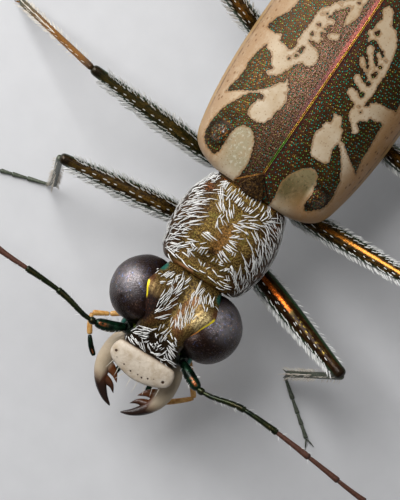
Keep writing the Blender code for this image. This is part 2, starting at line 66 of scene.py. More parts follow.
headPlace = turned(headTurn)
pronotumPlace = turned(pronotumTurn)
print("frame loaded")


# Modelling helpers

def selectNone():
    for other in bpy.context.selected_objects:
        other.select_set(False)


def onlyThis(piece):
    selectNone()
    piece.select_set(True)
    bpy.context.view_layer.objects.active = piece


def edit(piece):
    onlyThis(piece)
    bpy.ops.object.mode_set(mode="EDIT")
    bpy.ops.mesh.select_mode(type="VERT")


def done():
    bpy.ops.object.mode_set(mode="OBJECT")


def newRing(name, sides, **settings):  # a flat ring with its face, opened in edit mode
    selectNone()
    bpy.ops.mesh.primitive_circle_add(vertices=sides, radius=1, fill_type="NGON", **settings)
    piece = bpy.context.object
    piece.name = name
    applyPlace(piece)
    edit(piece)
    return piece


def scale(value, centre):
    bpy.ops.transform.resize(value=value, center_override=centre)


def selectAll():
    bpy.ops.mesh.select_all(action="SELECT")


def extrude(step):
    bpy.ops.mesh.extrude_region_move(TRANSFORM_OT_translate={"value": step})


def pick(piece, test):  # selects vertices by their place, in edit mode
    bm = bmesh.from_edit_mesh(piece.data)
    bpy.ops.mesh.select_all(action="DESELECT")
    for vert in bm.verts:
        vert.select = bool(test(vert.co))
    bm.select_flush_mode()
    bmesh.update_edit_mesh(piece.data)


def press(piece, at, move, reach, falloff="SMOOTH"):  # moves the surface near a point, softly
    at = Vector(at)
    bm = bmesh.from_edit_mesh(piece.data)
    nearest = min(bm.verts, key=lambda v: (v.co - at).length)
    spot = nearest.co.copy()
    pick(piece, lambda co: (co - spot).length < 1e-5)
    bpy.ops.transform.translate(
        value=move, use_proportional_edit=True, proportional_edit_falloff=falloff, proportional_size=reach
    )


def pull(piece, pulls, sides=(1,)):  # pulls are (point, move, reach), mirrored on side -1
    edit(piece)
    for side in sides:
        for (x, y, z), (across, along, up), reach in pulls:
            press(piece, (side * x, y, z), (side * across, along, up), reach)
    done()


def finishWith(piece, kind, **settings):  # adds a modifier and applies it
    onlyThis(piece)
    modifier = piece.modifiers.new(kind.lower(), kind)
    for key, value in settings.items():
        setattr(modifier, key, value)
    bpy.ops.object.modifier_apply(modifier=modifier.name)


def smoothOver(piece, levels):
    finishWith(piece, "SUBSURF", levels=levels, render_levels=levels)


def faceOut(piece):
    edit(piece)
    selectAll()
    bpy.ops.mesh.normals_make_consistent(inside=False)
    done()


def applyPlace(piece):
    onlyThis(piece)
    bpy.ops.object.transform_apply(location=True, rotation=True, scale=True)


def joinPieces(pieces, name):
    selectNone()
    for piece in pieces:
        piece.select_set(True)
    bpy.context.view_layer.objects.active = pieces[0]
    bpy.ops.object.join()
    pieces[0].name = name
    return pieces[0]


# A profile's rows are (share of length, half width, half height), without the height where it is the same.
def slimmed(profile, factor):
    return [(share, halves[0] * factor, halves[-1] * factor) for share, *halves in profile]


def mirrorPiece(piece, name):
    copy = piece.copy()
    copy.data = piece.data.copy()
    copy.name = name
    bpy.context.collection.objects.link(copy)
    copy.scale.x = -1
    applyPlace(copy)
    faceOut(copy)
    return copy


def settlePiece(piece, material, nodes=(), angle=40):  # millimetres to metres, and onto the frame
    piece.data.materials.clear()
    piece.data.materials.append(material)
    piece.scale = (millimetre,) * 3
    piece.location = standing
    applyPlace(piece)
    onlyThis(piece)
    bpy.ops.object.shade_smooth_by_angle(angle=math.radians(angle))
    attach(piece, "root")
    if nodes:
        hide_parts(*nodes)


def placed(piece, place):  # out of the head's or pronotum's frame
    piece.matrix_world = place
    applyPlace(piece)
    return piece


# Extrudes the selected section along rows of (y, half width, top, bottom), each scaled about level(row).
def extrudeRows(rows, level):
    for before, row in zip(rows, rows[1:]):
        extrude((0, row[0] - before[0], level(row) - level(before)))
        growth = (row[1] / before[1], 1, (row[2] - row[3]) / (before[2] - before[3]))
        scale(growth, (0, row[0], level(row)))


# A body form grown along Y from one ring. Its section is an ellipse at fullness 2, and nears a rounded box
# above that.
def growBody(name, rows, sides=32, fullness=2.0):
    y, half, top, bottom = rows[0]
    piece = newRing(name, sides, rotation=(math.pi / 2, 0, 0))
    for step in range(1, sides // 4 if fullness != 2 else 1):
        across, up = math.cos(math.tau * step / sides), math.sin(math.tau * step / sides)
        pick(piece, lambda co: abs(abs(co.x) - across) < 1e-3 and abs(abs(co.z) - up) < 1e-3)
        reach = (across ** fullness + up ** fullness) ** (-1 / fullness)
        scale((reach, 1, reach), (0, 0, 0))
    selectAll()
    scale((half, 1, (top - bottom) / 2), (0, 0, 0))
    bpy.ops.transform.translate(value=(0, y, (top + bottom) / 2))
    extrudeRows(rows, lambda row: (row[2] + row[3]) / 2)
    done()
    faceOut(piece)
    return piece


# A straight stalk standing on z 0. Its attribute "round" holds where each point is round and along it:
# sideways, upwards and the share of its length.
def growStalk(name, length, profile, sides=12, levels=1):
    profile = slimmed(profile, 1)
    share, wide, high = profile[0]
    piece = newRing(name, sides, location=(0, 0, share * length))
    selectAll()
    scale((wide, high, 1), (0, 0, share * length))
    for nextShare, nextWide, nextHigh in profile[1:]:
        extrude((0, 0, (nextShare - share) * length))
        scale((nextWide / wide, nextHigh / high, 1), (0, 0, nextShare * length))
        share, wide, high = nextShare, nextWide, nextHigh
    done()
    faceOut(piece)
    if levels:
        smoothOver(piece, levels)
    x, y, z = vertexPlaces(piece).T
    reach = np.maximum(np.hypot(x, y), 1e-6)
    writeVectors(piece, "round", [x / reach, -y / reach, z / length])
    return piece


def growSegment(name, start, end, profile, sides=12):  # a stalk laid from one point to another
    piece = growStalk(name, (end - start).length, profile, sides)
    along = (end - start).normalized()
    side = along.cross(Vector((0, 0, 1)))
    side = side.normalized() if side.length > 0.05 else Vector((1, 0, 0))
    turn = Matrix((side, along.cross(side), along)).transposed().to_4x4()
    return placed(piece, Matrix.Translation(start) @ turn)


def growBent(name, path, profile, sides=12, levels=1):  # a stalk bent along a path
    steps = [(b - a).length for a, b in zip(path, path[1:])]
    piece = growStalk(name, sum(steps), profile, sides, levels)
    data = bpy.data.curves.new("path", "CURVE")
    data.dimensions = "3D"
    spline = data.splines.new("POLY")
    spline.points.add(len(path) - 1)
    for point, place in zip(spline.points, path):
        point.co = (*place, 1)
    guide = bpy.data.objects.new("path", data)
    bpy.context.collection.objects.link(guide)
    shares = np.clip(vertexPlaces(piece)[:, 2] / sum(steps), 0, 1)
    finishWith(piece, "CURVE", object=guide, deform_axis="POS_Z")
    bpy.data.objects.remove(guide)
    run = np.concatenate([[0], np.cumsum(steps)]) / sum(steps)
    line = np.array([tuple(place) for place in path])
    axis = np.stack([np.interp(shares, run, line[:, k]) for k in range(3)], axis=1)
    along = Vector(line[-1] - line[0]).normalized()
    side = along.cross(Vector((0, 0, 1))).normalized()
    out = vertexPlaces(piece) - axis
    out /= np.maximum(np.linalg.norm(out, axis=1, keepdims=True), 1e-6)
    writeVectors(piece, "round", [out @ np.array(side), out @ np.array(side.cross(along)), shares])
    return piece


def smoothPath(points, steps=8, side=1):  # a smooth line through the points, mirrored for side -1
    points = [Vector((side * x, y, z)) for x, y, z in points]
    points = [points[0] * 2 - points[1], *points, points[-1] * 2 - points[-2]]
    path = []
    for a, b, c, d in zip(points, points[1:], points[2:], points[3:]):
        for k in range(steps):
            t = k / steps
            path.append(0.5 * (
                2 * b + (c - a) * t + (2 * a - 5 * b + 4 * c - d) * t ** 2 + (3 * b - a - 3 * c + d) * t ** 3
            ))
    return [*path, points[-2]]


def cutPath(path, shares, points=6):  # splits a path at shares of its length
    places = np.array([tuple(p) for p in path])
    run = np.concatenate([[0], np.cumsum(np.linalg.norm(np.diff(places, axis=0), axis=1))])
    cuts = np.array(shares) / shares[-1] * run[-1]
    return [
        [Vector([np.interp(at, run, line) for line in places.T]) for at in np.linspace(start, end, points)]
        for start, end in zip(cuts, cuts[1:])
    ]


def column(rows, y, k):  # column k of rows that begin with y, read off at y
    table = np.array(rows)
    return np.interp(y, table[:, 0], table[:, k])


def vertexPlaces(piece):
    places = np.zeros(len(piece.data.vertices) * 3)
    piece.data.vertices.foreach_get("co", places)
    return places.reshape(-1, 3)


def writeNumbers(piece, name, values):
    attribute = piece.data.attributes.new(name, "FLOAT", "POINT")
    attribute.data.foreach_set("value", np.ascontiguousarray(values, dtype=np.float32))


def writeVectors(piece, name, columns):
    attribute = piece.data.attributes.get(name) or piece.data.attributes.new(name, "FLOAT_VECTOR", "POINT")
    attribute.data.foreach_set("vector", np.stack(columns, axis=1).astype(np.float32).ravel())


# Shader helpers

class Wire:  # a socket that takes part in plain arithmetic
    def __init__(self, finish, socket):
        self.finish = finish
        self.socket = socket

    def __add__(self, other):
        return maths("ADD", self, other)

    def __radd__(self, other):
        return maths("ADD", other, self)

    def __sub__(self, other):
        return maths("SUBTRACT", self, other)

    def __rsub__(self, other):
        return maths("SUBTRACT", other, self)

    def __mul__(self, other):
        return maths("MULTIPLY", self, other)

    def __rmul__(self, other):
        return maths("MULTIPLY", other, self)

    def __truediv__(self, other):
        return maths("DIVIDE", self, other)

    def __rtruediv__(self, other):
        return maths("DIVIDE", other, self)

    def __abs__(self):
        return maths("ABSOLUTE", self)


class Finish:  # one material and its nodes
    def __init__(self, name, roughness=0.4, metallic=0.0, coat=0.0, coatRoughness=0.1, specular=0.5):
        self.material = bpy.data.materials.new(name)
        self.material.use_nodes = True
        self.shader = self.material.node_tree.nodes["Principled BSDF"]
        self.set("Roughness", roughness)
        self.set("Metallic", metallic)
        self.set("Coat Weight", coat)
        self.set("Coat Roughness", coatRoughness)
        self.set("Specular IOR Level", specular)

    def feed(self, socket, value):
        if isinstance(value, Wire):
            self.material.node_tree.links.new(value.socket, socket)
        else:
            socket.default_value = value

    def node(self, kind, settings=None, inputs=None, out=0):
        made = self.material.node_tree.nodes.new(kind)
        for key, value in (settings or {}).items():
            if key == "stops":
                while len(made.color_ramp.elements) < len(value):
                    made.color_ramp.elements.new(1.0)
                for element, (position, colour) in zip(made.color_ramp.elements, value):
                    element.position = position
                    element.color = (*colour, 1)
            else:
                setattr(made, key, value)
        for key, value in (inputs or {}).items():
            self.feed(made.inputs[key], value)
        return Wire(self, made.outputs[out])

    # Object coordinates, in millimetres in the beetle's frame or a turned one.
    def place(self, frameOf=None):
        where = vectorMaths("SUBTRACT", self.node("ShaderNodeTexCoord", out=3), tuple(standing))
        where = self.node("ShaderNodeVectorMath", {"operation": "SCALE"}, {0: where, "Scale": 1 / millimetre})
        if frameOf is None:
            return where
        where = vectorMaths("SUBTRACT", where, tuple(frameOf.translation))
        inputs = {"Vector": where, "Angle": -frameOf.to_euler().z}
        return self.node("ShaderNodeVectorRotate", {"rotation_type": "Z_AXIS"}, inputs)

    def drawn(self, name, out=2):  # an attribute of the piece: 1 a vector, 2 a number
        return self.node("ShaderNodeAttribute", {"attribute_name": name}, out=out)

    def paint(self, colour, mask=None):  # the first coat of colour, or one more over it where the mask is 1
        self.colour = colour if mask is None else blend(self.colour, colour, mask)

    def set(self, name, value):
        self.feed(self.shader.inputs[name], value)

    def relief(self, height, depth):  # depth in millimetres
        inputs = {"Height": height, "Distance": depth * millimetre}
        self.set("Normal", self.node("ShaderNodeBump", inputs=inputs))

    def made(self):  # the finished material
        self.set("Base Color", self.colour)
        return self.material


def owner(*values):  # the finish that the wires among them belong to
    return next(value.finish for value in values if isinstance(value, Wire))


def maths(operation, a, b=0.0):
    return owner(a, b).node("ShaderNodeMath", {"operation": operation}, {0: a, 1: b})


def vectorMaths(operation, a, b, out=0):
    return a.finish.node("ShaderNodeVectorMath", {"operation": operation}, {0: a, 1: b}, out)


def greater(a, b):
    return maths("MAXIMUM", a, b)


def fade(value, low, high):  # 0 below low and 1 above high, smooth between
    inputs = {"Value": value, "From Min": low, "From Max": high}
    return value.finish.node("ShaderNodeMapRange", {"interpolation_type": "SMOOTHSTEP"}, inputs)


def fall(value, low, high):  # 1 below low and 0 above high
    return 1 - fade(value, low, high)


def band(value, low, full, ebb, high):  # 0 outside low and high, 1 from full to ebb
    return fade(value, low, full) * fall(value, ebb, high)


def blend(a, b, factor):  # from colour a to colour b
    a, b = [colour if isinstance(colour, Wire) else (*colour, 1) for colour in (a, b)]
    return owner(factor, a, b).node("ShaderNodeMix", {"data_type": "RGBA"}, {0: factor, 6: a, 7: b}, 2)


def ramp(factor, stops):
    return factor.finish.node("ShaderNodeValToRGB", {"stops": stops}, {0: factor})


def split(vector):
    outputs = vector.finish.node("ShaderNodeSeparateXYZ", inputs={0: vector}).socket.node.outputs
    return [Wire(vector.finish, socket) for socket in outputs]


def joined(x, y, z=0.0):
    return x.finish.node("ShaderNodeCombineXYZ", inputs={0: x, 1: y, 2: z})


def apart(x, y, spot):  # how far (x, y) is from a spot
    return vectorMaths("DISTANCE", joined(x, y), (*spot, 0), 1)


def noise(vector, size, detail=2.0, roughness=0.5, distortion=0.0):
    inputs = {
        "Vector": vector, "Scale": size, "Detail": detail, "Roughness": roughness, "Distortion": distortion,
    }
    return vector.finish.node("ShaderNodeTexNoise", inputs=inputs)


def cells(vector, size, randomness=1.0, flat=False, out=0):  # out: 0 how far from its middle, 1 its colour
    settings = {"voronoi_dimensions": "2D" if flat else "3D"}
    inputs = {"Vector": vector, "Scale": size, "Randomness": randomness}
    return vector.finish.node("ShaderNodeTexVoronoi", settings, inputs, out)


bothSides = {"left": 1, "right": -1}
print("helpers ready")


# Wing cases

wingCase = {
    # (y, half width, crown height, margin height)
    "rows": [
        (-0.66, 1.2, 4.4, 3.86), (-0.6, 1.52, 4.53, 3.76), (-0.45, 1.93, 4.66, 3.58),
        (-0.2, 2.22, 4.81, 3.46), (0.1, 2.34, 4.92, 3.43), (0.5, 2.43, 5.03, 3.42), (1.1, 2.54, 5.16, 3.42),
        (1.8, 2.62, 5.27, 3.43), (2.6, 2.68, 5.33, 3.44), (3.6, 2.7, 5.37, 3.45), (4.6, 2.7, 5.37, 3.45),
        (5.4, 2.67, 5.32, 3.43), (6.2, 2.58, 5.22, 3.4), (6.9, 2.43, 5.07, 3.38), (7.5, 2.2, 4.88, 3.36),
        (8.0, 1.9, 4.66, 3.36), (8.4, 1.55, 4.42, 3.38), (8.7, 1.17, 4.18, 3.41), (8.92, 0.76, 3.96, 3.45),
        (9.04, 0.42, 3.82, 3.48), (9.1, 0.16, 3.72, 3.52),
    ],
    "sectionSteps": 14,
    "squareness": 0.062,  # how much fuller than a plain ellipse its section is
    "seam": 0.012,  # half the gap between the two
    "epipleuron": (-0.16, -0.2),  # how far its turned-under edge goes in and down
    "callus": (1.71, 0.28),  # the shoulder bump
    "pulls": [((1.71, 0.28, 4.7), (0.02, 0, 0.16), 0.42), ((1.3, -0.42, 4.6), (0, 0, 0.03), 0.4)],
    "levels": 4,
}

# Outlines of the cream markings, in hundredths of a millimetre: how far from the suture, and y. The base less
# its holes, and the island in its hook. A hole has its radius too.
cream = {
    "right": {
        "base": [
            (60, -80), (56, -33), (54, 0), (60, 25), (71, 53), (82, 73), (93, 83), (111, 89), (128, 84),
            (138, 73), (145, 53), (146, 30), (145, 5), (143, -12), (146, -29), (156, -33), (170, -30),
            (190, -22), (205, -7), (213, 13), (214, 40), (212, 70), (207, 95), (198, 118), (187, 140),
            (178, 158), (168, 173), (156, 183), (146, 189), (136, 191), (123, 188), (121, 180), (128, 175),
            (136, 171), (141, 150), (142, 130), (137, 121), (121, 114), (101, 114), (82, 123), (76, 140),
            (71, 153), (72, 168), (67, 180), (64, 200), (67, 220), (76, 230), (83, 230), (77, 238), (76, 248),
            (86, 251), (90, 263), (98, 268), (99, 256), (108, 250), (113, 243), (121, 230), (128, 218),
            (137, 208), (146, 200), (158, 186), (171, 178), (186, 170), (201, 160), (213, 150), (228, 138),
            (226, 160), (221, 190), (217, 220), (222, 250), (218, 280), (213, 305), (208, 323), (198, 310),
            (181, 308), (171, 295), (166, 283), (156, 275), (148, 270), (161, 255), (160, 250), (148, 249),
            (133, 258), (125, 268), (118, 280), (111, 295), (108, 305), (101, 320), (91, 333), (76, 329),
            (63, 335), (56, 350), (56, 368), (66, 380), (76, 388), (93, 389), (106, 390), (112, 398),
            (101, 403), (83, 404), (82, 414), (77, 423), (88, 426), (96, 433), (91, 443), (82, 445),
            (96, 450), (86, 460), (93, 465), (78, 475), (77, 486), (86, 488), (101, 480), (106, 485),
            (98, 498), (96, 513), (81, 528), (71, 545), (58, 550), (61, 530), (56, 505), (48, 488), (41, 505),
            (32, 525), (31, 540), (36, 565), (33, 590), (40, 615), (52, 610), (51, 585), (76, 565), (96, 548),
            (111, 530), (116, 515), (131, 498), (136, 480), (135, 455), (135, 430), (138, 405), (137, 380),
            (132, 363), (133, 350), (146, 340), (156, 346), (171, 348), (183, 350), (182, 360), (188, 368),
            (201, 361), (216, 361), (234, 362), (235, 373), (228, 400), (213, 425), (206, 445), (202, 470),
            (200, 500), (199, 550), (193, 610), (178, 645), (145, 655), (115, 645), (95, 660), (100, 685),
            (130, 700), (145, 725), (125, 760), (85, 790), (45, 810), (22, 840), (16, 930), (400, 930),
            (400, -80),
        ],
        "island": [
            (77, 439), (61, 434), (48, 439), (38, 453), (48, 463), (61, 455), (71, 448),
        ],
        "holes": [
            (128, 322, 5), (116, 340, 6), (113, 358, 7), (112, 368, 6), (113, 419, 6), (112, 451, 6),
            (122, 484, 3), (111, 492, 4), (93, 539, 4), (51, 571, 5),
        ],
    },
    "left": {
        "base": [
            (67, -80), (67, -37), (61, -12), (57, 10), (64, 40), (75, 60), (87, 78), (105, 93), (125, 94),
            (137, 83), (145, 63), (150, 35), (150, 5), (152, -10), (160, -20), (172, -17), (185, -2),
            (200, 10), (207, 30), (210, 55), (205, 85), (200, 110), (187, 130), (175, 150), (160, 170),
            (147, 185), (137, 195), (130, 196), (128, 185), (127, 170), (135, 155), (140, 135), (130, 125),
            (105, 123), (85, 124), (80, 128), (72, 145), (61, 170), (58, 190), (67, 208), (62, 215),
            (67, 230), (80, 235), (77, 250), (72, 263), (85, 265), (95, 268), (105, 253), (110, 240),
            (122, 235), (127, 220), (131, 205), (142, 208), (152, 200), (172, 185), (195, 173), (215, 160),
            (227, 152), (222, 170), (216, 200), (215, 230), (214, 260), (210, 290), (209, 318), (200, 319),
            (180, 311), (167, 313), (165, 298), (147, 290), (142, 275), (160, 263), (160, 250), (147, 245),
            (140, 255), (125, 268), (112, 280), (105, 293), (107, 310), (105, 320), (85, 325), (67, 335),
            (65, 348), (72, 356), (90, 353), (100, 348), (100, 358), (95, 363), (75, 370), (58, 380),
            (58, 393), (67, 398), (81, 388), (97, 385), (98, 397), (95, 403), (75, 413), (50, 425), (41, 438),
            (47, 448), (62, 438), (80, 418), (87, 415), (81, 430), (65, 450), (45, 468), (41, 480), (50, 490),
            (61, 485), (69, 467), (93, 442), (99, 450), (90, 463), (75, 478), (80, 486), (97, 474),
            (100, 485), (87, 495), (70, 499), (52, 510), (40, 503), (35, 490), (30, 500), (30, 508),
            (20, 510), (17, 525), (30, 530), (25, 545), (32, 570), (17, 595), (25, 615), (45, 610), (60, 580),
            (65, 568), (85, 565), (105, 540), (115, 520), (120, 500), (127, 470), (132, 435), (130, 410),
            (135, 380), (132, 355), (131, 330), (145, 337), (144, 348), (155, 358), (172, 363), (195, 364),
            (210, 370), (222, 364), (220, 380), (215, 400), (206, 440), (201, 480), (199, 540), (192, 605),
            (175, 640), (142, 650), (112, 640), (92, 658), (100, 685), (130, 700), (142, 725), (122, 760),
            (85, 790), (45, 810), (22, 840), (16, 930), (400, 930), (400, -80),
        ],
        "island": [],
        "holes": [
            (107, 353, 8), (105, 391, 7), (105, 420, 7), (104, 428, 6), (106, 450, 6), (43, 528, 8),
            (120, 320, 3), (134, 310, 3), (110, 475, 3),
        ],
    },
}


# Signed distance to a closed outline, in millimetres: positive inside.
def insideBy(points, outline):
    nearest = np.full(len(points), 1e9)
    inside = np.zeros(len(points), bool)
    for a, b in zip(outline, np.roll(outline, -1, axis=0)):
        side = b - a
        share = np.clip(((points - a) @ side) / (side @ side), 0, 1)
        nearest = np.minimum(nearest, np.linalg.norm(points - a - share[:, None] * side, axis=1))
        if a[1] != b[1]:
            crosses = (a[1] > points[:, 1]) != (b[1] > points[:, 1])
            inside ^= crosses & (points[:, 0] < side[0] * (points[:, 1] - a[1]) / side[1] + a[0])
    return np.where(inside, nearest, -nearest)


def growWingCase():
    rows = wingCase["rows"]
    selectNone()
    bpy.ops.mesh.primitive_circle_add(
        vertices=wingCase["sectionSteps"] * 4, radius=1, rotation=(math.pi / 2, 0, 0)
    )
    piece = bpy.context.object
    applyPlace(piece)
    edit(piece)
    pick(piece, lambda co: co.x < -1e-3 or co.z < -1e-3)
    bpy.ops.mesh.delete(type="VERT")
    diagonal = Vector((0.7, 0, 0.7))
    pick(piece, lambda co: (co - diagonal).length < 0.08)
    fuller = 1 + wingCase["squareness"]
    bpy.ops.transform.resize(
        value=(fuller, 1, fuller), center_override=(0, 0, 0), use_proportional_edit=True,
        proportional_edit_falloff="SMOOTH", proportional_size=0.62,
    )
    selectAll()
    y, half, crown, margin = rows[0]
    scale((half, 1, crown - margin), (0, 0, 0))
    bpy.ops.transform.translate(value=(0, y, margin))
    extrudeRows(rows, lambda row: row[3])
    bm = bmesh.from_edit_mesh(piece.data)  # the edge that turns under the body
    bpy.ops.mesh.select_all(action="DESELECT")
    for edge in bm.edges:
        low = all(abs(v.co.z - column(rows, v.co.y, 3)) < 0.02 and v.co.x > 0.1 for v in edge.verts)
        edge.select_set(edge.is_boundary and low)
    bmesh.update_edit_mesh(piece.data)
    inwards, down = wingCase["epipleuron"]
    for share in (0.25, 1.0):
        extrude((0, 0, down * share / 1.25))
        scale((1 + inwards * (share - 0.3) / 2.6, 1, 1), (0, 3.5, 3.4))
    selectAll()
    bpy.ops.transform.translate(value=(wingCase["seam"], 0, 0))
    done()
    faceOut(piece)
    smoothOver(piece, wingCase["levels"])
    pull(piece, wingCase["pulls"])
    return piece


def markWingCase(piece, side):
    places = vertexPlaces(piece)
    flat = np.stack([np.abs(places[:, 0]), places[:, 1]], axis=1)
    marks = {name: np.array(drawn) / 100 for name, drawn in cream[side].items()}
    field = insideBy(flat, marks["base"])
    if len(marks["island"]):
        field = np.maximum(field, insideBy(flat, marks["island"]))
    for x, y, radius in marks["holes"]:
        field = np.minimum(field, np.hypot(flat[:, 0] - x, flat[:, 1] - y) - radius * 1.2)
    writeNumbers(piece, "cream", field)
    stations = np.linspace(places[:, 1].min(), places[:, 1].max(), 140)
    outline = [flat[np.abs(flat[:, 1] - y) < 0.07, 0].max() for y in stations]
    writeNumbers(piece, "brim", np.interp(flat[:, 1], stations, outline) - flat[:, 0])
    drop = column(wingCase["rows"], places[:, 1], 2) - places[:, 2]
    across = places[:, 0] + np.sign(places[:, 0]) * 0.65 * drop
    writeVectors(piece, "lay", [across, places[:, 1], np.zeros(len(places))])


def wingCaseFinish():
    finish = Finish("wingCaseCuticle", roughness=0.36, coatRoughness=0.06, specular=0.15)
    place = finish.place()
    x, y, z = split(place)
    lay = finish.drawn("lay", out=1)
    field = finish.drawn("cream")
    brim = finish.drawn("brim")  # how far a point is inside the outline
    off = abs(x)
    # punctures: small pits with a bright blue-green floor, each in a dark ring with a gold fleck beside it
    pits = cells(lay, 9.2, 0.66, flat=True)
    tint = split(cells(lay, 9.2, 0.66, flat=True, out=1))
    beside = vectorMaths("ADD", lay, (0.045, 0.025, 0))
    fleck = fall(cells(beside, 9.2, 0.66, flat=True), 0.1, 0.26)
    ragged = noise(lay, 6.0, 3.0, 0.55)
    edge = field + (ragged - 0.5) * 0.045 + (pits - 0.36) * 0.05 + 0.004
    creamMask = fade(edge, -0.01, 0.012)
    darkMask = 1 - creamMask
    pitDot = fall(pits, 0.12, 0.24)
    ring = fall(pits, 0.2, 0.46)
    # dark ground: brown, with a painted rosy sheen beside the suture on the right case, brighter towards the
    # rear
    broad = noise(lay, 1.3, 3.0, 0.6)
    fine = noise(lay, 22.0, 3.0, 0.6)
    # random brown speckle, painted darker towards the rear as painted shade
    speckAndRearShade = fade(broad + (fine - 0.5) * 0.9, 0.3, 0.8) * (1 - fade(y, 2.5, 4.0) * 0.6)
    ground = blend((0.04, 0.018, 0.005), (0.092, 0.043, 0.012), speckAndRearShade)
    # painted sheen: the zone beside the suture on the right case where a rosy reflection is painted in; its
    # flecks are tinted and its rings fainter there
    paintedSheenZone = band(x, -1.55, -0.45, -0.02, 0.02)
    sheen = blend((0.15, 0.08, 0.053), (0.235, 0.132, 0.097), fade(y, 0.8, 3.2))
    ground = blend(ground, sheen, paintedSheenZone * fade(fine, 0.4, 0.62) * 0.85)
    ruddy = fall(x, 0.05, 0.75) * fade(x, -0.01, 0.02)
    ground = blend(ground, (0.085, 0.03, 0.018), ruddy * 0.6)
    ground = blend(ground, (0.018, 0.008, 0.003), ring * (0.85 - paintedSheenZone * 0.45))
    pitFloor = ramp(tint[0], [
        (0.0, (0.02, 0.36, 0.2)), (0.35, (0.02, 0.32, 0.26)), (0.55, (0.08, 0.34, 0.06)),
        (0.78, (0.46, 0.34, 0.05)), (1.0, (0.03, 0.2, 0.28)),
    ])
    glow = blend((0.4, 0.16, 0.035), (0.34, 0.17, 0.12), paintedSheenZone)
    # gold flecks, tinted by the painted sheen and fainter towards the rear as painted shade
    ground = blend(ground, glow, fleck * fade(tint[1], 0.25, 0.7) * (0.6 - fade(y, 2.0, 4.0) * 0.3))
    ground = blend(ground, pitFloor, pitDot * (0.35 + tint[1] * 0.65) * (1 - paintedSheenZone * 0.45))
    outline = fade(edge, -0.055, -0.015)
    ground = blend(ground, (0.03, 0.012, 0.005), outline * 0.75)
    # the shoulder bump is smooth and shining, with a painted shadow ring round it
    bumpAt = apart(off, y, wingCase["callus"])
    bump = fall(bumpAt, 0.2, 0.32) * darkMask
    ground = blend(ground, (0.024, 0.011, 0.004), bump * (1 - pitDot) * 0.7)
    ground = blend(ground, (0.3, 0.11, 0.02), bump * fade(noise(lay, 14.0, 2.0), 0.54, 0.62) * 0.8)
    # painted shadow: a dark ring round the shoulder bump
    paintedShadowRing = band(bumpAt, 0.24, 0.32, 0.36, 0.46) * darkMask
    ground = blend(ground, (0.012, 0.006, 0.003), paintedShadowRing * 0.7)
    # cream: greyer on the basal spots, tan along the side margins and shoulders
    pale = blend((0.52, 0.425, 0.305), (0.41, 0.3, 0.18), fade(broad, 0.35, 0.75))
    basal = fall(off, 1.3, 1.6) * fall(y, 0.85, 1.0) * fade(y, -0.65, -0.1)
    # painted light and shade: the left case, away from the light, gets a darker, more saturated basal spot
    # and tan, with dark flecks where the lit right case has white ones
    leftLightingSide = fade(x, -0.2, 0.4)
    dull = blend((0.11, 0.085, 0.034), (0.2, 0.16, 0.078), fade(y, 0.1, 0.7))
    olive = blend((0.31, 0.265, 0.165), dull, leftLightingSide)
    olive = blend(olive, (0.36, 0.24, 0.13), fade(broad, 0.45, 0.75) * (0.6 - leftLightingSide * 0.3))
    olive = blend(
        olive, blend((0.56, 0.53, 0.43), (0.055, 0.042, 0.018), leftLightingSide),
        fade(noise(lay, 11.0, 4.0, 0.65), 0.5, 0.7) * 0.7
    )
    pale = blend(pale, olive, basal)
    pale = blend(pale, (0.36, 0.26, 0.155), fade(y, 2.2, 4.2) * 0.5)
    tan = blend((0.31, 0.19, 0.1), (0.38, 0.195, 0.068), leftLightingSide)
    tan = blend(tan, (0.43, 0.33, 0.22), fade(noise(lay, 3.0, 4.0, 0.65), 0.5, 0.68) * (0.6 - leftLightingSide * 0.3))
    shoulder = fade(off, 0.9, 1.7) * fall(y, -0.25, 0.5)
    pale = blend(pale, tan, greater(fade(off, 1.7, 2.4), shoulder) * 0.9)
    freckle = fall(pits, 0.1, 0.22) * fade(tint[2], 0.55, 0.75)
    pale = blend(pale, (0.22, 0.12, 0.05), freckle * 0.6)
    soiled = fade(noise(lay, 5.0, 4.0, 0.65), 0.52, 0.74)
    pale = blend(pale, (0.38, 0.25, 0.13), soiled * 0.45)
    fringe = band(edge, 0.0, 0.012, 0.02, 0.07)
    pale = blend(pale, (0.24, 0.125, 0.045), fringe * 0.7)
    finish.paint(blend(ground, pale, creamMask))
    # the outer edge: a golden bead outside a thin dark line
    finish.paint((0.34, 0.21, 0.08), fall(brim, 0.05, 0.09) * 0.8)
    groove = fall(abs(brim - 0.1), 0.01, 0.03)
    broken = fade(noise(lay, 4.0, 3.0, 0.6), 0.42, 0.56)
    finish.paint((0.14, 0.07, 0.026), groove * fade(y, 0.5, 1.2) * (0.25 + broken * 0.6))
    spots = fall(cells(lay, 3.4, 1.0, flat=True), 0.1, 0.2) * fade(brim, 0.12, 0.18)
    finish.paint((0.16, 0.075, 0.03), spots * fall(brim, 0.3, 0.4) * fade(y, 0.6, 1.2) * 0.8)
    grit = noise(lay, 30.0, 2.0, 0.6)
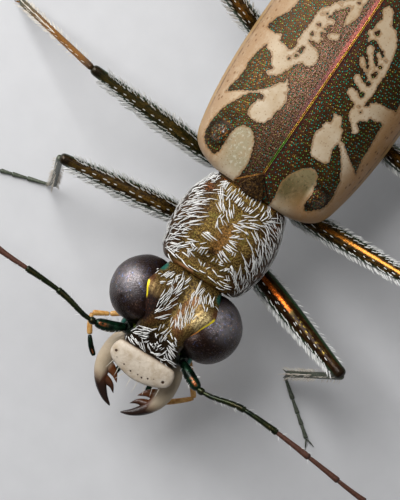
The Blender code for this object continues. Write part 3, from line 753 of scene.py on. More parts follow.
    # the suture: a thin gold line, greener near the base, rosy beside it on the right case, partly its own
    # colour and partly a painted highlight that brightens towards the rear, dark on the left
    pink = band(x, -0.22, -0.05, -0.01, 0.0) * fade(y, 0.6, 3.0)
    mauve = blend((0.17, 0.055, 0.065), (0.44, 0.115, 0.1), fade(y, 2.8, 4.6))
    finish.paint(mauve, pink * (0.35 + fade(grit, 0.35, 0.6) * 0.65))
    maroon = band(x, 0.0, 0.012, 0.05, 0.16)
    finish.paint((0.04, 0.01, 0.011), maroon * 0.85)
    gold = blend((0.75, 0.26, 0.05), (0.75, 0.58, 0.05), fade(noise(lay, 9.0, 2.0), 0.42, 0.6))
    gold = blend(gold, (0.1, 0.42, 0.05), band(y, 0.2, 0.45, 1.1, 1.5) * 0.9)
    line = fall(off, 0.016, 0.036) * fade(y, -0.05, 0.1)
    finish.paint(gold, line * 0.9)
    border = fall(abs(off + y - 0.015), 0.015, 0.045)
    border = border * band(y, -0.62, -0.52, -0.06, 0.0)
    tone = blend((0.52, 0.22, 0.05), (0.01, 0.005, 0.003), fade(x, -0.01, 0.01))
    finish.paint(tone, border * 0.9)
    low = fall(z, 3.26, 3.34)
    finish.paint((0.055, 0.028, 0.014), low)
    finish.set("Metallic", darkMask * (0.52 + paintedSheenZone * 0.2 - pitDot * 0.25) * (1 - bump * 0.8))
    finish.set("Roughness", 0.34 + creamMask * 0.12 + (fine - 0.5) * 0.2 * darkMask)
    finish.set("Coat Weight", bump * fade(noise(lay, 7.0, 2.0), 0.53, 0.57) * (1 - leftLightingSide * 0.6))
    hollow = pitDot * (0.15 + darkMask * 0.85)
    height = 0.6 - hollow * 0.4 + (grit - 0.5) * (0.1 + darkMask * 0.35) + (broad - 0.5) * 0.3
    finish.relief(height + bump * (0.2 + grit * 0.5), 0.022)
    return finish.made()


caseMaterial = wingCaseFinish()
leftWingCase = growWingCase()
rightWingCase = mirrorPiece(leftWingCase, "wingCaseRight")
leftWingCase.name = "wingCaseLeft"
markWingCase(leftWingCase, "left")
markWingCase(rightWingCase, "right")
settlePiece(leftWingCase, caseMaterial, ["elytron_left"], angle=60)
settlePiece(rightWingCase, caseMaterial, ["elytron_right"], angle=60)
print("wing cases made")


# Thorax and abdomen

trunk = {
    # (y, half width, top, bottom)
    "thorax": [
        (-0.62, 0.98, 3.9, 2.86), (-0.4, 1.42, 4.02, 2.62), (0.05, 1.98, 4.08, 2.46), (0.6, 2.16, 4.16, 2.42),
        (0.86, 2.2, 4.2, 2.42), (0.92, 2.17, 4.2, 2.47), (0.99, 2.22, 4.2, 2.42), (1.9, 2.38, 4.28, 2.38),
        (2.8, 2.46, 4.3, 2.38), (3.16, 2.44, 4.3, 2.44), (3.24, 2.3, 4.2, 2.6),
    ],
    "sternites": [3.1, 4.02, 4.92, 5.76, 6.56, 7.28, 7.92],
    "abdomen": [
        (3.1, 2.48, 4.3, 2.44), (4.6, 2.5, 4.3, 2.42), (5.4, 2.46, 4.26, 2.44), (6.2, 2.36, 4.18, 2.5),
        (6.9, 2.2, 4.06, 2.6), (7.5, 1.95, 3.92, 2.72), (8.0, 1.62, 3.74, 2.86), (8.3, 1.32, 3.62, 2.96),
        (8.52, 0.95, 3.52, 3.06), (8.66, 0.5, 3.44, 3.16), (8.7, 0.2, 3.38, 3.22),
    ],
    "collar": [
        (-1.3, 0.95, 4.1, 3.0), (-1.1, 1.08, 4.26, 2.92), (-0.75, 1.12, 4.36, 2.88), (-0.5, 1.12, 4.42, 2.9),
        (-0.36, 1.0, 4.4, 3.0),
    ],
    "scutellum": [
        (-0.4, -0.74), (0.0, -0.8), (0.4, -0.74), (0.42, -0.58), (0.3, -0.38), (0.17, -0.18), (0.07, -0.03),
        (0.0, 0.02), (-0.07, -0.03), (-0.17, -0.18), (-0.3, -0.38), (-0.42, -0.58),
    ],
    "scutellumBottom": 4.44,
    "scutellumThick": 0.2,
    "scutellumRim": 0.07,
    "scutellumRise": 0.3,  # its tip stands higher than its base, on the wing cases
}


def growAbdomen():
    rows = trunk["abdomen"]
    grooved = [rows[0]]
    for y in trunk["sternites"][1:]:
        half, top, bottom = [column(rows, y, k) for k in (1, 2, 3)]
        grooved += [
            (y - 0.1, half, top, bottom), (y - 0.03, half * 0.995, top, bottom + 0.01),
            (y, half * 0.97, top, bottom + 0.06), (y + 0.04, half * 0.99, top, bottom + 0.03),
        ]
    grooved += [row for row in rows if row[0] > trunk["sternites"][-1] + 0.1]
    piece = growBody("abdomenTube", grooved)
    smoothOver(piece, 2)
    return piece


def growScutellum():  # a plate grown from its outline, then thickened and rounded
    outline = trunk["scutellum"]
    selectNone()
    bpy.ops.mesh.primitive_plane_add(size=0.01, location=(*outline[0], trunk["scutellumBottom"]))
    piece = bpy.context.object
    piece.name = "scutellumPlate"
    applyPlace(piece)
    edit(piece)
    selectAll()
    bpy.ops.mesh.merge(type="CENTER")
    for before, point in zip(outline, outline[1:]):
        extrude((point[0] - before[0], point[1] - before[1], 0))
    selectAll()
    bpy.ops.mesh.edge_face_add()
    extrude((0, 0, trunk["scutellumThick"]))
    rim = trunk["scutellumRim"]
    bpy.ops.mesh.inset(thickness=rim, depth=rim * 0.7)
    done()
    faceOut(piece)
    smoothOver(piece, 2)
    edit(piece)
    press(piece, (*outline[7], 4.6), (0, 0, trunk["scutellumRise"]), 0.78, "LINEAR")
    press(piece, (0, -0.55, 4.7), (0, 0, 0.03), 0.3)
    done()
    return piece


def undersideFinish():
    finish = Finish(
        "undersideCuticle", roughness=0.3, metallic=0.7, coat=0.1, coatRoughness=0.12, specular=0.3
    )
    place = finish.place()
    broad = noise(place, 0.9, 3.0)
    fine = noise(place, 16.0, 4.0, 0.6)
    pits = cells(place, 6.5, 0.9)
    green = blend((0.02, 0.085, 0.055), (0.035, 0.07, 0.1), fade(broad, 0.35, 0.65))
    copper = blend((0.14, 0.06, 0.025), (0.1, 0.09, 0.03), fine)
    finish.paint(blend(green, copper, fade(abs(split(place)[0]), 1.2, 2.1) * fade(broad, 0.3, 0.6)))
    finish.paint((0.01, 0.012, 0.01), fall(pits, 0.05, 0.22) * 0.6)
    finish.set("Roughness", 0.26 + (fine - 0.5) * 0.2)
    finish.relief(fade(pits, 0.0, 0.3) * 0.6 + fine * 0.4, 0.02)
    return finish.made()


def bronzeFinish():
    finish = Finish("bronzeCuticle", roughness=0.32, metallic=0.6, specular=0.2)
    place = finish.place()
    grain = noise(place, 16.0, 4.0, 0.7)
    finish.paint(ramp(grain, [
        (0.38, (0.01, 0.005, 0.003)), (0.52, (0.045, 0.022, 0.007)), (0.66, (0.15, 0.08, 0.02)),
    ]))
    finish.relief(grain, 0.03)
    return finish.made()


undersideMaterial = undersideFinish()
bronzeMaterial = bronzeFinish()
thorax = growBody("thoraxBody", trunk["thorax"], sides=32)
smoothOver(thorax, 2)
settlePiece(thorax, undersideMaterial, ["pterothorax"])
abdomen = growAbdomen()
settlePiece(abdomen, undersideMaterial, ["abdomen"])
collar = growBody("collar", trunk["collar"], sides=24)
smoothOver(collar, 1)
settlePiece(collar, bronzeMaterial)
print("thorax and abdomen made")


# Pronotum

pronotum = {
    "rows": [
        (0.06, 1.02, 4.2, 3.1), (0.05, 1.18, 4.34, 2.94), (-0.01, 1.25, 4.42, 2.86), (-0.12, 1.3, 4.46, 2.8),
        (-0.26, 1.35, 4.47, 2.76), (-0.38, 1.39, 4.45, 2.74), (-0.5, 1.45, 4.52, 2.7),
        (-0.7, 1.52, 4.64, 2.66), (-1.0, 1.585, 4.76, 2.64), (-1.4, 1.61, 4.81, 2.64),
        (-1.8, 1.585, 4.78, 2.66), (-2.1, 1.52, 4.7, 2.68), (-2.32, 1.46, 4.6, 2.72),
        (-2.44, 1.43, 4.57, 2.74), (-2.58, 1.39, 4.59, 2.78), (-2.72, 1.31, 4.55, 2.84),
        (-2.83, 1.2, 4.48, 2.92), (-2.88, 1.06, 4.38, 3.02), (-2.84, 0.9, 4.2, 3.16),
    ],
    "fullness": 2.5,
    "pit": ((0, -2.28, 4.6), (0, 0, -0.1), 0.42),  # the hollow at the middle of the front groove
    "pulls": [  # the first is the hollow before the rear corner
        ((0.98, -0.36, 4.3), (0, 0, -0.1), 0.38), ((1.05, -0.1, 4.3), (0, 0, 0.05), 0.25),
        ((0.75, -1.35, 4.75), (0, 0, 0.04), 0.8),
    ],
    "line": 0.02,  # depth of the fine line down its middle
}


def growPronotum():
    piece = growBody("pronotumShell", pronotum["rows"], sides=40, fullness=pronotum["fullness"])
    pull(piece, [pronotum["pit"]])
    pull(piece, pronotum["pulls"], (-1, 1))
    smoothOver(piece, 2)
    edit(piece)
    pick(piece, lambda co: abs(co.x) < 0.02 and co.z > 4.3 and -2.4 < co.y < -0.3)
    bpy.ops.transform.translate(
        value=(0, 0, -pronotum["line"]), use_proportional_edit=True, proportional_edit_falloff="SHARP",
        proportional_size=0.1,
    )
    done()
    return placed(piece, pronotumPlace)


def pronotumFinish():
    finish = Finish("pronotumCuticle", roughness=0.3, specular=0.2)
    place = finish.place(pronotumPlace)
    x, y, z = split(place)
    off = abs(x)
    broad = noise(place, 1.6, 3.0, 0.6)
    grain = noise(place, 20.0, 4.0, 0.76)
    stretched = finish.node("ShaderNodeMapping", inputs={"Vector": place, "Scale": (7.0, 20.0, 9.0)})
    wrinkle = noise(stretched, 1.0, 4.0, 0.62, distortion=0.9)
    gold = ramp(grain, [
        (0.36, (0.022, 0.01, 0.003)), (0.47, (0.1, 0.054, 0.012)), (0.55, (0.205, 0.13, 0.028)),
        (0.64, (0.42, 0.29, 0.085)),
    ])
    dark = ramp(grain, [
        (0.38, (0.012, 0.005, 0.003)), (0.52, (0.042, 0.018, 0.006)), (0.66, (0.15, 0.07, 0.018)),
    ])
    sides = fade(off + (broad - 0.5) * 1.1, 0.6, 1.1)
    finish.paint(blend(gold, dark, sides * 0.95))
    green = fade(noise(place, 6.0, 2.0), 0.55, 0.66) * (1 - sides * 0.6)
    finish.paint((0.1, 0.12, 0.014), green * fade(grain, 0.42, 0.6) * 0.55)
    # painted shade: the front and rear grooves, and the pit in the front groove, are painted darker
    hollow = fall(abs(y + 2.36 + off * 0.05), 0.05, 0.22)
    rearGrooveShade = fall(abs(y + 0.38), 0.04, 0.16)
    finish.paint((0.05, 0.022, 0.007), greater(hollow, rearGrooveShade) * 0.45)
    middle = fall(off, 0.05, 0.34) * band(y, -2.2, -1.9, -1.4, -0.8)
    finish.paint((0.3, 0.12, 0.03), middle * fade(grain, 0.4, 0.6) * 0.8)
    pitShadeAt = apart(x * 0.6, y, (-0.01, -2.0))
    finish.paint((0.014, 0.006, 0.003), fall(pitShadeAt + (grain - 0.5) * 0.25, 0.02, 0.15) * 0.8)
    copper = blend((0.5, 0.15, 0.05), (0.46, 0.28, 0.06), fade(noise(place, 5.0, 2.0), 0.4, 0.6))
    margins = greater(fade(y, -0.05, 0.0), fall(y, -2.85, -2.81))
    finish.paint(copper, margins * fall(off, 0.9, 1.2) * fade(grain, 0.42, 0.58) * 0.9)
    frontLine = fall(abs(y + 2.8), 0.015, 0.05) * fall(off, 0.6, 1.0)
    finish.paint((0.62, 0.3, 0.13), frontLine * fade(broad, 0.4, 0.55) * 0.9)
    # painted glint: a copper spot at each rear corner
    corner = apart(off, y, (1.16, -0.42))
    finish.paint((0.42, 0.14, 0.05), fall(corner, 0.03, 0.22) * fade(grain, 0.5, 0.58) * 0.7)
    flank = fall(z, 3.3, 3.9)
    finish.paint((0.015, 0.035, 0.02), flank * 0.8)
    finish.set("Metallic", 0.5 + margins * 0.3)
    finish.set("Roughness", 0.32 + (grain - 0.5) * 0.4)
    finish.relief(wrinkle * 0.6 + grain * 0.7, 0.034)
    return finish.made()


pronotumMaterial = pronotumFinish()
pronotumPiece = growPronotum()
settlePiece(pronotumPiece, pronotumMaterial, ["prothorax"])
scutellum = growScutellum()
settlePiece(scutellum, bronzeMaterial, ["scutellum"])
print("pronotum made")


# Head

head = {
    "rows": [
        (1.36, 0.78, 4.14, 3.1), (1.22, 0.88, 4.28, 3.0), (1.06, 0.95, 4.38, 2.88), (0.92, 1.02, 4.44, 2.8),
        (0.78, 1.14, 4.52, 2.76), (0.62, 1.27, 4.62, 2.72), (0.46, 1.345, 4.69, 2.68),
        (0.34, 1.335, 4.72, 2.68), (0.15, 1.23, 4.74, 2.66), (-0.1, 1.09, 4.74, 2.62),
        (-0.35, 0.98, 4.7, 2.6), (-0.58, 0.88, 4.62, 2.56), (-0.78, 0.79, 4.52, 2.54),
        (-0.96, 0.76, 4.38, 2.52), (-1.1, 0.84, 4.26, 2.5), (-1.24, 0.91, 4.16, 2.5),
        (-1.38, 0.92, 4.06, 2.5), (-1.48, 0.88, 3.98, 2.54), (-1.52, 0.78, 3.88, 2.64),
    ],
    "fullness": 6.0,
    # (x, y, rise, reach)
    "hollow": [
        (0.0, 0.75, -0.06, 0.5), (0.0, 0.4, -0.22, 0.85), (0.0, -0.1, -0.22, 0.75), (0.0, -0.55, -0.14, 0.55),
        (0.0, -1.0, -0.04, 0.4),
    ],
    "brow": [(1.27, 0.38, 0.05, 0.3), (1.08, 0.02, 0.07, 0.26), (0.8, -0.66, -0.14, 0.36)],
    "socket": (0.95, -1.16, 3.66),
    "socketRadius": 0.14,
    "cheek": [(0.62, -0.55, 3.05), (0.94, -0.98, 3.16), (1.0, -1.34, 3.1)],
    "cheekProfile": [(0, 0.2), (0.1, 0.32, 0.42), (0.6, 0.29, 0.42), (0.9, 0.2, 0.26), (1, 0.1, 0.12)],
}

eye = {
    "centre": (1.2, 0.05, 3.72),
    "radii": (0.925, 1.02, 0.96),
    "pulls": [
        ((1.8, 0.65, 4.02), (0.03, -0.05, 0), 0.8), ((1.7, -0.75, 3.82), (-0.02, -0.02, 0), 0.7),
        ((0.92, -0.62, 4.38), (-0.13, -0.05, 0.13), 0.52), ((1.4, 1.05, 3.72), (0, 0.03, 0), 0.6),
        ((1.02, 0.98, 3.82), (-0.09, 0.05, 0), 0.45),
    ],
}


def growHead():
    piece = growBody("headCapsule", head["rows"], sides=40, fullness=head["fullness"])
    edit(piece)
    for x, y, depth, reach in head["hollow"]:
        press(piece, (x, y, 4.7), (0, 0, depth), reach)
    for side in (-1, 1):
        for x, y, rise, reach in head["brow"]:
            press(piece, (side * x, y, 4.6), (side * 0.01, 0, rise), reach)
    done()
    smoothOver(piece, 2)
    return placed(piece, headPlace)


def growSocket(side):  # the ring that the feeler stands in
    x, y, z = head["socket"]
    selectNone()
    bpy.ops.mesh.primitive_torus_add(
        major_segments=24, minor_segments=8, major_radius=head["socketRadius"], minor_radius=0.05,
        location=(side * x, y, z), rotation=(0, side * math.radians(62), side * math.radians(-20)),
    )
    piece = bpy.context.object
    piece.name = "socket"
    applyPlace(piece)
    return piece


def growEye(name, side):
    selectNone()
    bpy.ops.mesh.primitive_uv_sphere_add(segments=64, ring_count=40, radius=1)
    piece = bpy.context.object
    piece.name = name
    piece.scale = eye["radii"]
    x, y, z = eye["centre"]
    piece.location = (side * x, y, z)
    applyPlace(piece)
    pull(piece, eye["pulls"], (side,))
    return placed(piece, headPlace)


def headFinish():
    finish = Finish("headCuticle", roughness=0.3, specular=0.2)
    place = finish.place(headPlace)
    x, y, z = split(place)
    off = abs(x)
    broad = noise(place, 2.2, 3.0, 0.6)
    grain = noise(place, 20.0, 4.0, 0.74)
    # how far outside the eye a point is, in millimetres or nearly
    measures = zip((off, y, z), eye["centre"], eye["radii"])
    toEye = joined(*[(at - middle) / radius for at, middle, radius in measures])
    plate = (finish.node("ShaderNodeVectorMath", {"operation": "LENGTH"}, {0: toEye}, out=1) - 1) * 0.95
    waver = (broad - 0.5) * 0.25
    lines = maths("SINE", (plate + waver * 0.06) * 120 + grain * 3) * 0.5 + 0.5
    within = fade(off, 0.42, 0.6) * band(y, -0.85, -0.55, 0.52, 0.72)
    bronze = ramp(grain, [
        (0.4, (0.018, 0.009, 0.004)), (0.51, (0.085, 0.052, 0.013)), (0.62, (0.25, 0.165, 0.045)),
    ])
    olive = ramp(grain, [
        (0.36, (0.05, 0.026, 0.008)), (0.5, (0.15, 0.094, 0.027)), (0.64, (0.32, 0.215, 0.07)),
    ])
    finish.paint(blend(bronze, olive, within))
    plateAt = apart(off, y, (0.93, 0.12))
    # painted light: the gold plate patch is painted much brighter on the left plate, which faces the light
    plateGoldLitLeft = blend((0.26, 0.17, 0.07), (0.6, 0.47, 0.22), fade(x, -0.1, 0.1))
    finish.paint(plateGoldLitLeft, fall(plateAt, 0.18, 0.46) * fade(grain, 0.37, 0.53) * 0.95)
    ruddy = fall(abs(plate - 0.34 + waver), 0.02, 0.12) * fade(y, -0.9, -0.6)
    finish.paint((0.13, 0.045, 0.018), ruddy * fall(y, 0.6, 0.8) * 0.55)
    finish.paint((0.06, 0.026, 0.01), lines * within * fall(plate, 0.3, 0.5) * 0.5)
    leftLightingSide = fade(x, -0.1, 0.1)
    # painted shade: a dark band on the steep plate side beside each eye, fainter on the left side
    plateShade = fall(plate + waver * 0.3, 0.2 - leftLightingSide * 0.18, 0.38 - leftLightingSide * 0.16)
    plateShade = plateShade * fade(off, 0.3, 0.45) * band(y, -0.95, -0.6, -0.02, 0.24)
    plateShade = plateShade * (1 - leftLightingSide * 0.6)
    finish.paint(blend((0.008, 0.003, 0.002), (0.07, 0.022, 0.01), fade(grain, 0.5, 0.66)), plateShade)
    corner = apart(off, y, (1.14, 0.52))
    finish.paint((0.1, 0.032, 0.016), fall(corner, 0.05, 0.26) * 0.8)
    front = fall(y, -1.02, -0.66)
    finish.paint((0.02, 0.011, 0.007), front * 0.9)
    # dark socket and teal spots, and at (0.8, -1.0) a small painted yellow-green glint
    for spot, colour, near, far in (
        ((0.96, -1.14), (0.004, 0.01, 0.006), 0.14, 0.32), ((1.02, 1.0), (0.004, 0.16, 0.12), 0.1, 0.22),
        ((1.2, -1.04), (0.004, 0.15, 0.11), 0.05, 0.14), ((0.8, -1.0), (0.16, 0.22, 0.01), 0.02, 0.07),
    ):
        away = apart(off, y, spot)
        finish.paint(colour, fall(away, near, far) * 0.9)
    # painted highlight: a bright orange-to-yellow line along each eye's inner rim, all along it on the left
    # side
    rim = fall(plate - fall(y, -0.45, -0.05) * 0.05, 0.018, 0.042) * band(y, -0.66, -0.5, 0.34, 0.44)
    rim = rim * greater(leftLightingSide, fade(y, -0.12, 0.02)) * fade(z, 4.1, 4.3)
    finish.paint(blend((1.0, 0.36, 0.08), (0.8, 0.64, 0.02), fade(y, -0.25, 0.02)), rim)
    under = fall(z, 2.9, 3.6)
    finish.paint((0.01, 0.035, 0.026), under * 0.85)
    # painted shade: the mouth below the upper lip is painted nearly black
    paintedMouthShade = fall(y, -1.46, -1.38) * fall(z, 3.55, 3.75)
    finish.paint((0.008, 0.007, 0.005), paintedMouthShade * 0.9)
    finish.set("Metallic", 0.55 - rim * 0.3 - plateShade * 0.5)
    finish.set("Roughness", 0.31 + (grain - 0.5) * 0.3 + plateShade * 0.3)
    finish.relief(lines * within * 0.12 + grain * 0.45 + broad * 0.4, 0.024)
    return finish.made()


def eyeFinish():
    finish = Finish("eyeFacets", roughness=0.42, metallic=0.7, coat=0.16, coatRoughness=0.26, specular=0.25)
    place = finish.place(headPlace)
    facets = cells(place, 30.0, 1.0)
    broad = noise(place, 1.6, 3.0)
    mottle = noise(place, 5.5, 4.0, 0.65)
    glitter = noise(place, 24.0, 2.0)
    hue = noise(place, 5.0, 2.0)
    x, y, _ = split(place)  # the sheen lies off the middle of each eye
    lit = 0
    for spot, near, far, share in (((-1.62, 0.08), 0.0, 0.78, 1.0), ((1.5, 0.46), 0.0, 0.8, 1.2)):
        away = apart(x, y, spot)
        lit = lit + fall(away + (mottle - 0.5) * 0.3, near, far) * share
    finish.paint(blend((0.018, 0.007, 0.004), (0.235, 0.215, 0.225), lit * fade(broad + mottle, 0.55, 1.1)))
    tint = ramp(hue, [
        (0.34, (0.16, 0.34, 0.8)), (0.46, (0.34, 0.3, 0.48)), (0.58, (0.7, 0.38, 0.18)),
        (0.7, (0.16, 0.42, 0.6)),
    ])
    finish.paint(tint, fade(glitter, 0.52, 0.66) * fade(mottle, 0.44, 0.58) * (0.12 + lit * 0.75))
    finish.set("Roughness", 0.4 + (mottle - 0.5) * 0.5)
    finish.relief(1 - fade(facets, 0.1, 0.6) + (mottle - 0.5) * 1.5, 0.007)
    return finish.made()


headMaterial = headFinish()
capsule = growHead()
cheeks = [
    growBent("cheek", smoothPath(head["cheek"], side=side), head["cheekProfile"], sides=16, levels=2)
    for side in (1, -1)
]
sockets = placed(joinPieces([growSocket(1), growSocket(-1), *cheeks], "sockets"), headPlace)
settlePiece(capsule, headMaterial, ["head"])
settlePiece(sockets, headMaterial)
eyeMaterial = eyeFinish()
for name, side in bothSides.items():
    settlePiece(growEye("eyeball_" + name, side), eyeMaterial, ["eye_" + name])
print("head made")


# Mouthparts

mouth = {
    # (y, half width, top, bottom)
    "labrum": [
        (-1.5, 0.86, 3.98, 3.7), (-1.56, 0.95, 4.03, 3.66), (-1.7, 1.02, 4.05, 3.62),
        (-1.88, 1.05, 4.02, 3.6), (-2.04, 1.01, 3.98, 3.58), (-2.17, 0.87, 3.93, 3.57),
        (-2.27, 0.62, 3.88, 3.57), (-2.35, 0.33, 3.84, 3.58), (-2.385, 0.1, 3.78, 3.62),
    ],
    "mandible": [
        (0.74, -1.3, 3.02), (0.93, -1.62, 3.0), (1.02, -2.02, 2.96), (1.01, -2.45, 2.92), (0.82, -2.9, 2.88),
        (0.5, -3.24, 2.84), (0.18, -3.43, 2.8),
    ],
    "mandibleProfile": [
        (0, 0.24, 0.22), (0.03, 0.29, 0.27), (0.2, 0.3, 0.28), (0.45, 0.26, 0.25), (0.65, 0.2, 0.19),
        (0.82, 0.13), (0.94, 0.07), (0.99, 0.025), (1, 0.01),
    ],
    "teeth": [  # (root, middle, tip, radius)
        [(0.96, -2.02, 2.94), (0.66, -2.14, 2.93), (0.44, -2.32, 2.9), 0.21],
        [(0.92, -2.4, 2.92), (0.6, -2.52, 2.91), (0.36, -2.74, 2.88), 0.19],
        [(0.78, -2.8, 2.89), (0.48, -2.88, 2.88), (0.28, -3.06, 2.86), 0.15],
    ],
    "palpRight": [
        [(-0.9, -0.62, 2.2), (-1.3, -0.9, 1.98), (-1.62, -1.12, 2.0)],
        [(-1.62, -1.12, 2.0), (-2.08, -1.36, 2.06)],
        [(-2.08, -1.36, 2.06), (-1.98, -1.66, 2.07), (-1.8, -1.96, 2.06)],
        [(-1.8, -1.96, 2.06), (-1.6, -2.22, 2.03), (-1.36, -2.44, 1.98)],
    ],
    "palpLeft": [
        [(0.84, -0.62, 2.2), (1.08, -0.98, 1.98), (1.4, -1.38, 2.0)],
        [(1.4, -1.38, 2.0), (1.85, -1.96, 2.06)],
        [(1.85, -1.96, 2.06), (1.5, -2.26, 2.07), (1.16, -2.52, 2.06)],
        [(1.16, -2.52, 2.06), (0.94, -2.66, 2.03), (0.72, -2.8, 1.98)],
    ],
    "palpLabial": [
        [(0.36, -1.16, 2.24), (0.42, -1.42, 2.02)], [(0.42, -1.42, 2.02), (0.48, -1.8, 1.86)],
        [(0.48, -1.8, 1.86), (0.52, -2.2, 1.78)], [(0.52, -2.2, 1.78), (0.56, -2.56, 1.7)],
    ],
    "palpProfile": [(0, 0.05), (0.04, 0.075), (0.5, 0.085), (0.9, 0.1), (1, 0.07)],
    "palpTip": [(0, 0.045), (0.05, 0.07), (0.5, 0.095, 0.09), (0.92, 0.085, 0.08), (1, 0.05)],
    # small dark hollows in the lip: (x, y, radius)
    "lipPits": [
        (-0.87, -1.9, 0.045), (0.8, -1.99, 0.048), (-0.46, -2.13, 0.024), (-0.19, -2.2, 0.026),
        (0.05, -2.18, 0.022), (0.19, -2.2, 0.028), (0.36, -2.13, 0.028), (-0.75, -2.06, 0.016),
        (0.52, -2.05, 0.014),
    ],
    "chin": [  # (y, half width, top, bottom)
        (-0.5, 0.55, 2.8, 2.46), (-0.8, 0.62, 2.8, 2.3), (-1.2, 0.58, 2.76, 2.2), (-1.45, 0.36, 2.66, 2.22),
        (-1.56, 0.16, 2.56, 2.3),
    ],
    "stipes": [
        (0.84, -0.42, 2.52), (0.86, -0.9, 2.34), (0.8, -1.4, 2.3), (0.6, -1.9, 2.34), (0.34, -2.22, 2.38),
    ],
    "stipesProfile": [
        (0, 0.14), (0.05, 0.2, 0.18), (0.4, 0.2, 0.18), (0.65, 0.14, 0.12), (0.9, 0.07, 0.06), (1, 0.015),
    ],
}


def growMandible(side):
    path = smoothPath(mouth["mandible"], side=side)
    parts = [growBent("mandiblePiece", path, mouth["mandibleProfile"], sides=16, levels=2)]
    for *points, radius in mouth["teeth"]:
        profile = [(share, radius * size, radius * size * 0.8) for share, size in (
            (0, 0.9), (0.05, 1.0), (0.35, 0.85), (0.65, 0.45), (0.9, 0.16), (1, 0.03),
        )]
        parts.append(growBent("tooth", smoothPath(points, side=side), profile, sides=12, levels=2))
    return placed(joinPieces(parts, "mandiblePiece"), headPlace)


def ivoryFinish():
    finish = Finish("ivoryCuticle", roughness=0.42, coat=0.08, coatRoughness=0.25, specular=0.3)
    place = finish.place(headPlace)
    x, y, z = split(place)
    off = abs(x)
    broad = noise(place, 3.0, 3.0, 0.6)
    fine = noise(place, 14.0, 4.0, 0.6)
    finish.paint(blend((0.6, 0.52, 0.42), (0.44, 0.35, 0.25), fade(broad, 0.35, 0.75)))
    finish.paint((0.34, 0.24, 0.15), fade(fine, 0.5, 0.8) * 0.5)
    jaw = 1 - fade(z, 3.3, 3.4)  # the jaws are below the lip, and painted darker as painted shade under it
    finish.paint((0.36, 0.28, 0.18), jaw * 0.75)
    pits = 1.0
    for pitX, pitY, radius in mouth["lipPits"]:
        away = apart(x, y, (pitX, pitY))
        pits = pits * fade(away, radius * 0.6, radius * 1.25)
    finish.paint((0.05, 0.022, 0.01), (1 - pits) * (1 - jaw))
    seam = fade(y, -1.6, -1.5) * (1 - jaw)
    finish.paint((0.2, 0.12, 0.07), seam * 0.7)
    tip = greater(fall(y, -3.05, -2.6), fall(off + y * 0.16, 0.3, 0.5))
    brown = blend((0.13, 0.04, 0.012), (0.018, 0.008, 0.005), fall(y, -3.1, -2.5))
    finish.paint(brown, tip * jaw)
    finish.set("Roughness", 0.42 - tip * jaw * 0.18)
    finish.relief(fine * 0.5 + broad * 0.9 + (pits - 1) * (1 - jaw), 0.02)
    return finish.made()


def amberFinish():
    finish = Finish("amberCuticle", roughness=0.36, coat=0.08, coatRoughness=0.2, specular=0.3)
    place = finish.place()
    share = split(finish.drawn("round", out=1))[2]
    fine = noise(place, 12.0, 3.0)
    finish.paint(blend((0.56, 0.32, 0.1), (0.42, 0.19, 0.04), fade(fine, 0.35, 0.7)))
    finish.paint((0.22, 0.09, 0.02), fall(share, 0.0, 0.1) * 0.7)
    finish.relief(fine, 0.006)
    return finish.made()


def greenFinish(name, dark, light, glint):
    finish = Finish(name, roughness=0.24, metallic=0.6, coat=0.12, coatRoughness=0.1, specular=0.25)
    place = finish.place()
    side, up, share = split(finish.drawn("round", out=1))
    fine = noise(place, 14.0, 3.0)
    broad = noise(place, 4.5, 2.0)
    # painted light: lighter on the upper side, with a painted glint on top near the tip
    finish.paint(blend(dark, light, fade(up + (fine - 0.5) * 0.5, 0.3, 0.95) * fade(broad, 0.35, 0.6)))
    glints = fade(up - abs(side), 0.45, 0.85) * fade(share, 0.55, 0.78)
    finish.paint(glint, glints * fall(share, 0.88, 0.96) * fade(fine, 0.35, 0.55) * 0.8)
    finish.set("Roughness", 0.24 + (fine - 0.5) * 0.16)
    finish.relief(fine, 0.01)
    return finish.made()


ivoryMaterial = ivoryFinish()
amberMaterial = amberFinish()
greenMaterial = greenFinish("greenCuticle", (0.002, 0.006, 0.003), (0.006, 0.034, 0.015), (0.34, 0.09, 0.025))
feelerGreen = greenFinish("feelerGreen", (0.005, 0.01, 0.004), (0.02, 0.026, 0.006), (0.05, 0.034, 0.01))
labrum = growBody("upperLip", mouth["labrum"], sides=32, fullness=2.7)
smoothOver(labrum, 2)
settlePiece(placed(labrum, headPlace), ivoryMaterial, ["labrum"])
for name, side in bothSides.items():
    settlePiece(growMandible(side), ivoryMaterial, ["mandible_" + name])
    tips = []
    for whole, end, node, palp, steps, mirror in (
        ("jawPalp_", "palpTip_", "palp_maxillary_", mouth["palp" + name.title()], 5, 1),
        ("lipPalp_", "lipPalpTip_", "palp_labial_", mouth["palpLabial"], 3, side),
    ):
        *paths, last = [smoothPath(part, steps, mirror) for part in palp]
        segments = [growBent("palpSegment", path, mouth["palpProfile"], sides=10) for path in paths]
        segments = placed(joinPieces(segments, whole + name), headPlace)
        settlePiece(segments, amberMaterial, [node + name])
        tips.append((end + name, last))
    for label, path in tips:
        tip = growBent(label, path, mouth["palpTip"], sides=10)
        settlePiece(placed(tip, headPlace), greenMaterial)
    path = smoothPath(mouth["stipes"], side=side)
    stipes = growBent("maxilla_" + name, path, mouth["stipesProfile"], sides=12)
    settlePiece(placed(stipes, headPlace), amberMaterial)
chin = growBody("chin", mouth["chin"], sides=20)
smoothOver(chin, 1)
writeVectors(chin, "round", [np.full(len(chin.data.vertices), value) for value in (0.0, 0.0, 0.5)])
settlePiece(placed(chin, headPlace), greenMaterial)
print("mouthparts made")


# Feelers

